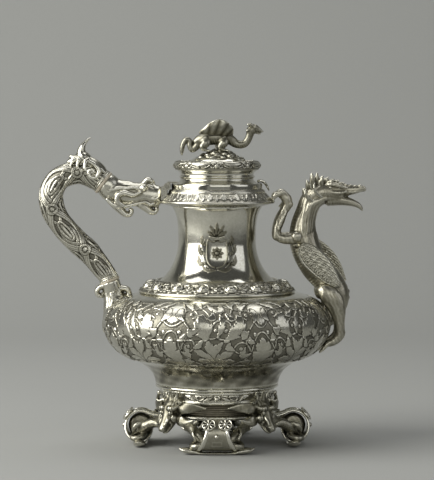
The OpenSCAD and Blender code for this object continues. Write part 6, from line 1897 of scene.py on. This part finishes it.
@dataclass
class Lid:
    """The hinged lid: turned shell, cast border, rockwork and a crouching dragon."""

    flange_z: float = 209.0
    flange_r: float = 36.5
    waist_r: float = 29.4
    border_z: float = 219.6
    border_r: float = 35.2
    border_h: float = 7.8
    crown_r: float = 16.0
    crown_z: float = 229.5
    rock_z: float = 236.9

    def build(self) -> None:
        """Builds the lid's pieces from the flange up."""
        self.build_shell()
        self.build_border()
        dress(cast("lid_lifting_leaf", self.leaf_form(), 0.35, 2, 1.0), "lid_leaf", body="lid")
        dress(cast("rock_mound", self.rock_form(), 0.52, 2, 1.4, detail=self.pebbles), "rockwork",
            finish=Finish.OXIDISED, body="lid")
        dress(cast("crouching_dragon", self.dragon_form(), 0.44, 3, 1.4, detail=self.dragon_skin),
            "finial_dragon", finish=Finish.OXIDISED, body="lid")
        dress(made("bat_wings", self.wings_form(), 1, 0.8), "finial_wings", finish=Finish.OXIDISED,
            body="lid")

    def build_shell(self) -> None:
        """The shell: flange, hollow waist with a thread, and the dome under the rock; one closed skin."""
        r, z, w = self.flange_r, self.flange_z, self.waist_r
        line = np.concatenate([np.array([(r, 204.05), (r, z - 1.6), (r - 0.2, z - 0.6), (r - 0.9, z),
            (w + 3, z + 0.1), (w + 2.2, z + 0.5), (w + 1.6, z + 1)]),
            bezier((w + 1.4, z + 1.4), (w - 0.1, z + 2.4), (w - 0.3, z + 3.6), (w + 0.4, z + 4.4), 8),
            bezier((w + 0.9, z + 4.6), (w + 1.4, z + 5), (w + 1.4, z + 5.6), (w + 0.6, z + 6), 7),
            bezier((w + 0.1, z + 6.2), (w - 0.1, z + 7.6), (w + 0.8, z + 9.2), (w + 3.4, 219.6), 12)])
        dome = bezier((w + 3.4, 219.6), (w - 4, 221.6), (22, 229.3), (self.crown_r, 229.5), 20)[1:]
        outside = even(np.concatenate([line, dome, [[1.7, 229.5]]]), 0.5)
        inside = np.array([(1.7, 228.4), (15, 228.4), (20, 227.2), (24.6, 223), (28.6, 219.8), (29.6, 218.6),
            (28.2, 214), (28.3, 210), (33.1, 205.1), (33.1, 204.05)])
        dress(made("lid_turned", revolved(np.concatenate([outside, inside]), 240), 1, 0.4), "lid_shell",
            finish=Finish.POLISHED, body="lid", slot="polished_silver")

    def build_border(self) -> None:
        """The cast border: long cartouches and round ones between scrolls on a half-round rim."""
        columns, repeats = 512, 8
        z, r, h = self.border_z, self.border_r, self.border_h
        line = np.concatenate([bezier((r - 1.9, z + 0.15), (r - 0.4, z + 0.3), (r, z + 1.2),
            (r - 0.5, z + 2.2), 8), bezier((r - 0.5, z + 2.2), (r + 0.1, z + 4.4), (r - 1, z + 6.6),
            (r - 3.4, z + h - 0.7), 16)[1:], bezier((r - 3.4, z + h - 0.7), (r - 5.4, z + h - 0.1),
            (r - 7.6, z + h - 0.8), (26.2, z + h - 1.6), 10)[1:]])
        line = even(line, 0.36)
        s = lengths(line)
        x = repeated(columns, repeats, 34)
        w = relief(x, s - 6.0)
        for k in (-1, 1):
            w.stem([(k * 1, 3.4), (k * 4.6, 2.9), (k * 7.2, 1.4), (k * 7.6, -0.6), (k * 5.6, -2.2),
                (k * 1, -2.6)], 0.7, 1.4)
            w.stem([(k * 8.8, -2.4), (k * 10.6, -3), (k * 11.6, -1.2), (k * 10.2, -0.2)], 0.6, 1.2)
            w.stem([(k * 8.6, 2.6), (k * 10.4, 3.8), (k * 12.2, 3)], 0.6, 1.2)
            w.leaf([(k * 8, 0.4), (k * 10.2, 1.6), (k * 13, 1)], 1.5, 1.4, 2.0)
            w.leaf([(k * 7.6, 3.8), (k * 10, 5.4), (k * 13.2, 5)], 1.3, 1.2, 2.0)
            w.leaf([(k * 2, 4.4), (k * 4.4, 5.8), (k * 7, 5.6)], 1.2, 1.1, 2.0)
            w.dome(k * 13.35, -1.6, 1.8, 1.6)
        w.leaf([(-7, 0.4), (0, 0.4), (7, 0.4)], 2.4, 1.35, 1.0, 0.0, veins=0.0)
        w.dome(0, 4.6, 1.1, 1.3)
        ends = step_up(np.minimum(s, s[-1] - s), 0.0, 1.4)[:, None]
        raised = (w.height - 1.0) * ends
        back = np.array([(26.2, 223.9), (28, 221.6), (31, 220.4)])
        dress(made("lid_scrollwork", relief_ring(line, back, raised, w.tone), 1, 0.4), "lid_border",
            body="lid")

    def leaf_form(self) -> Form:
        """The lifting leaf: a small lobed tongue that curls over the flange.

        Returns:
            The form at the spout's side.
        """
        r, z = self.flange_r, self.flange_z
        form = Form().limb(rows_at(r, z, [(-4, 0, 1.4, 1.2, 4.6), (-0.4, 0, 1.6, 1.3, 5.4),
            (2.4, 0, -0.6, 1.2, 5), (4.2, 0, -3.6, 0.9, 3.4), (5.2, 0, -6, 0.5, 1.2)]), 24, 8,
            shape=lambda a, t: 1 + 0.14 * np.sin(a) ** 2 * np.sin(17 * t))
        return form.add(Form().limb(rows_at(r, z, [(-3, 2.6, 2.2, 0.6, 0.7), (1.6, 3, 1, 0.7, 0.7),
            (3.8, 2, -2.6, 0.4, 0.4)]), 12, 6).both_sides())

    def rock_form(self) -> Form:
        """The rock: a mound with lumps at even turns, lower and further out as they go.

        Returns:
            The form.
        """
        form = Form().blob((2, 0, self.crown_z - 0.6), (12.6, 9.0, 7.6), 32)
        seeded = np.random.default_rng(7)
        for k in range(46):
            turn, out = 2.4 * k, np.sqrt((k + 0.5) / 46)
            x, y = 2 + 21.0 * out * np.cos(turn), 18.0 * out * np.sin(turn)
            lump = 2.0 + 1.5 * seeded.random()
            z = self.crown_z + 6.2 * (1 - out**1.3) - 3.0 * out**2
            form.blob((x * 0.94, y, z - 0.6), (lump * 1.15, lump, lump * 0.8), 14)
        return form

    def pebbles(self, p: Array, n: Array) -> Array:
        """Rough rock: the product of three sines of the place, so that small knobs stand up."""
        return 0.24 * np.sin(2.2 * p[:, 0]) * np.sin(2.4 * p[:, 1]) * np.sin(2.0 * p[:, 2] + 1.0)

    def dragon_form(self) -> Form:
        """A crouching dragon: body, swan neck, beaked head, arched tail with a barb, and four clawed legs.

        Returns:
            The form.
        """
        z = self.rock_z
        form = Form().limb([(-17.6, 0, z + 4.6, 2.6, 2.8), (-14, 0, z + 6.6, 4.2, 4.6),
            (-8, 0, z + 7.8, 5.4, 6), (-1, 0, z + 8.6, 6, 6.4), (5.6, 0, z + 8.2, 5.6, 5.6),
            (11, 0, z + 6.6, 4.2, 4.2), (14.6, 0, z + 4, 3.5, 3.5), (18.4, 0, z + 2.9, 3.2, 3.2),
            (22.4, 0, z + 3.9, 3.1, 3.1), (25, 0, z + 7.2, 3, 3), (26.4, 0, z + 11, 3.1, 3),
            (27.4, 0, z + 14.2, 4, 3.5), (30, 0, z + 15.8, 3.7, 3.2), (33, 0, z + 15, 2.3, 2.2),
            (35.6, 0, z + 13.8, 1.3, 1.4), (37.3, 0, z + 13.2, 0.5, 0.6)], 32, 8)
        form.limb([(30.4, 0, z + 13.4, 1.6, 1.9), (33.2, 0, z + 12, 0.9, 1.2), (35.4, 0, z + 11.4, 0.4, 0.5)],
            14, 6)
        form.limb([(-13, 0, z + 6.4, 4.2, 4.2), (-16.6, 0, z + 1.4, 3, 3.2), (-19.8, 0, z - 1, 2.5, 2.7),
            (-21.8, 0, z + 2, 2.3, 2.4), (-21.9, 0, z + 5.6, 2.2, 2.3), (-24.6, 0, z + 7, 2.2, 2.3),
            (-27.2, 0, z + 3.4, 2.1, 2.5), (-28.2, 0, z - 1.6, 1.8, 2.2), (-28.2, 0, z - 5.6, 0.7, 0.9)], 22,
            8)
        side = Form()
        side.blob((30.2, 2.5, z + 17.0), (1.4, 1.0, 1.2))
        side.limb([(29, 2, z + 17, 1.5, 1.3), (27, 2.9, z + 18.8, 1.6, 1.2), (25.2, 3.4, z + 19.2, 1.1, 0.9),
            (24, 3.4, z + 18.2, 0.4, 0.4)], 14, 6)
        side.limb([(26.4, 2.2, z + 14.6, 1.2, 1), (24.6, 3, z + 14.6, 1, 0.8),
            (23.4, 3.2, z + 13.6, 0.4, 0.4)], 12, 6)
        for x, reach_x in ((-10, 4), (4.4, 5)):
            side.limb([(x, 3.8, z + 6.6, 4.6, 3.2), (x + 1, 6, z + 4.2, 3.8, 3),
                (x - 1.6, 6.6, z + 1.4, 2.6, 2.4), (x - 0.4, 6.8, z - 0.8, 1.6, 1.7),
                (x + reach_x - 1, 7, z - 1.8, 0.9, 1.3)], 18, 7)
            for k in (-1, 0, 1):
                side.limb([(x + reach_x - 2.4, 7 + 0.7 * k, z - 1.6, 0.6, 0.6),
                    (x + reach_x - 0.4, 7 + 1.5 * k, z - 1.8, 0.6, 0.6),
                    (x + reach_x + 1.4, 7 + 1.7 * k, z - 2.6, 0.3, 0.3)], 10, 5)
        return form.add(side.both_sides())

    def dragon_skin(self, p: Array, n: Array) -> Array:
        """Ribs under the body and along the tail: a sine of the way along."""
        return 0.1 * np.sin(3.4 * p[:, 0] + 1.2 * p[:, 2]) * step_up(-n[:, 2], 0.0, 0.7)

    def wings_form(self) -> Form:
        """Two ribbed wings: sheets from the leading arm to the scalloped hind edge, ridged along the ribs.

        Returns:
            The form.
        """
        z = self.rock_z
        u = np.linspace(0, 1, 60)
        front = spline([(12.8, 3.4, z + 10.6), (13, 6.4, z + 15.6), (9.4, 9, z + 20.4), (2.4, 10.2, z + 23.4),
            (-5.6, 9.8, z + 20.6), (-14.4, 7.6, z + 13)], 60)
        back = spline([(8.4, 5.4, z + 9.4), (4, 7, z + 10), (-0.6, 8, z + 10.6), (-5.6, 8.2, z + 11),
            (-10.4, 8, z + 11), (-14.6, 7.4, z + 11.8)], 60)
        w = np.linspace(0, 1, 36)
        sheet = front[:, None] * (1 - w)[None, :, None] + back[:, None] * w[None, :, None]
        ribs = np.abs(np.sin(np.pi * (5 * u[:, None] + 0.7 * w[None, :]))) ** 0.7
        arm = np.exp(-((w[None, :] / 0.10) ** 2))
        bulge = 1.6 * np.sin(np.pi * w)[None, :] * np.sin(np.pi * u)[:, None]
        across, along = (np.sin(np.pi * np.clip(q, 0.02, 0.98)) ** 0.5 for q in (w, u))
        edge = across[None, :] * along[:, None]
        thick = (0.35 + 0.35 * ribs + 0.7 * arm) * edge
        outer, inner = sheet.copy(), sheet.copy()
        outer[..., 1] += bulge + thick
        inner[..., 1] += bulge - 0.45 * edge
        tone = np.concatenate([0.45 - 0.6 * ribs - 0.4 * arm, 1.0 + 0 * ribs], 1)
        one = Form().grid(np.concatenate([outer, inner[:, ::-1]], 1), wrap_v=True, tone=tone)
        return one.both_sides()


# ---- Studio --------------------------------------------------------------------------------------


def sweep_material() -> bpy.types.Material:
    """Matt seamless paper of a plain pale grey.

    Returns:
        The material.
    """
    mat = bpy.data.materials.new("seamless_paper")
    mat.use_nodes = True
    tree = mat.node_tree
    tree.nodes.clear()
    place = add(tree, "TexCoord").outputs["Object"]
    fibre = add(tree, "TexNoise", {"Scale": 1 / (1.5 * MM), "Detail": 2.0}, {"Vector": place})
    colour = add(tree, "ValToRGB", {}, {0: fibre.outputs["Fac"]})
    stops = colour.color_ramp.elements
    stops[0].color, stops[1].color = linear("9e9f9c"), linear("a5a6a3")
    skin = add(tree, "BsdfPrincipled", {"Roughness": 0.85}, {"Base Color": colour.outputs[0]})
    add(tree, "OutputMaterial", {}, {"Surface": skin.outputs[0]})
    return mat


@dataclass
class Studio:
    """A pale sweep, five soft lamps and the camera."""

    distance: float = 1848.0
    height: float = 259.0
    field_deg: float = 11.9
    shift: float = -0.2485
    sensor: float = 36.0

    def build(self) -> None:
        """Builds the sweep, the lamps and the camera."""
        self.build_sweep()
        self.light()
        self.aim()

    def build_sweep(self) -> None:
        """Seamless paper: level floor that bends up to a wall in a quarter circle."""
        flat = np.stack([np.linspace(-2600, 900, 30), np.zeros(30)], 1)
        a = np.linspace(0, np.pi / 2, 24)[1:]
        bend = np.stack([900 + 900 * np.sin(a), 900 - 900 * np.cos(a)], 1)
        wall = np.stack([np.full(12, 1800.0), np.linspace(1000, 3200, 12)], 1)
        line = np.concatenate([flat, bend, wall])
        x = np.linspace(-2600, 2600, 40)
        p = np.stack(np.broadcast_arrays(x[:, None], line[None, :, 0], line[None, :, 1]), -1)
        pts, faces, tone = Form().grid(p).merged()
        obj = to_object("sweep", pts, faces, tone)
        obj.data.materials.append(sweep_material())

    def light(self) -> None:
        """Soft boxes at the left, in front, at the right and above, a low card, and a dim even room."""
        # name, place and size in metres, watts, colour
        for name, place, size, power, colour in (("key", (-1.7, -0.62, 1.05), (1.9, 2), 58, "fffefa"),
                ("front", (0.35, -2.5, 1.1), (2.4, 1.4), 11, "fffffa"),
                ("fill", (1.7, -0.7, 1), (1.2, 1.6), 5, "fbfcff"),
                ("card", (0.2, -2.7, 0.35), (3, 1.4), 1.8, "fffffa"),
                ("top", (-0.1, 0.5, 2), (2, 1.2), 14, "ffffff")):
            lamp = bpy.data.lights.new(name, "AREA")
            lamp.shape = "RECTANGLE"
            lamp.size, lamp.size_y = size
            lamp.energy = power
            lamp.color = linear(colour)[:3]
            obj = bpy.data.objects.new(name, lamp)
            obj.location = place
            aim = Vector((0.0, 0.0, 0.13)) - obj.location
            obj.rotation_euler = aim.to_track_quat("-Z", "Y").to_euler()
            bpy.context.scene.collection.objects.link(obj)
        world = bpy.data.worlds.new("room")
        world.use_nodes = True
        world.node_tree.nodes.clear()
        glow = add(world.node_tree, "Background", {"Color": linear("8a8b88"), "Strength": 0.3})
        add(world.node_tree, "OutputWorld", {}, {"Surface": glow.outputs[0]})
        bpy.context.scene.world = world

    def aim(self) -> None:
        """A level view along +Y; the frame is shifted down so that the pot stands in its middle."""
        cam = bpy.data.cameras.new("camera")
        cam.sensor_fit = "VERTICAL"
        cam.sensor_height = self.sensor
        cam.lens = self.sensor / 2 / np.tan(np.radians(self.field_deg / 2))
        cam.shift_x = 0.0
        cam.shift_y = self.shift
        cam.clip_start, cam.clip_end = 0.1, 20.0
        obj = bpy.data.objects.new("camera", cam)
        obj.location = (0.0, -self.distance * MM, self.height * MM)
        obj.rotation_euler = (np.pi / 2, 0.0, 0.0)
        bpy.context.scene.collection.objects.link(obj)
        bpy.context.scene.camera = obj
        bpy.context.scene.view_settings.view_transform = "Standard"


def dress_fittings() -> None:
    """Gives the CAD nodes that stay their finishes."""
    kept = {"hinge_pin": Finish.FITTINGS, "pot_hinge_leaf": Finish.CAST, "lid_hinge_leaf": Finish.FITTINGS,
        "strainer": Finish.FITTINGS, "handle_rivets": Finish.FITTINGS, "finial_bolt": Finish.FITTINGS,
        "finial_nut": Finish.FITTINGS, "lid_bezel": Finish.POLISHED}
    for obj in bpy.data.objects:
        if obj.type != "MESH" or obj.name == "sweep" or obj.hide_render:
            continue
        finish = kept.get(obj.name)
        if obj.name in ("upper_insulator", "lower_insulator"):
            bone = bpy.data.materials.get("turned_ivory") or ivory()
            obj.data.materials.clear()
            obj.data.materials.append(bone)
        elif obj.name in frame["nodes"]:
            obj.data.materials.clear()
            obj.data.materials.append((finish or Finish.CAST).value.material())


def main() -> None:
    """Builds the pot's pieces in order, then the studio."""
    logging.basicConfig(level=logging.INFO, format="%(message)s")
    for part in PARTS:
        part().build()
        log.info("%s done", part.__name__)
    dress_fittings()
    Studio().build()


PARTS: tuple[type, ...] = (Vessel, Base, Feet, DragonSpout, Handle, Lid)

if __name__ == "__main__":
    main()
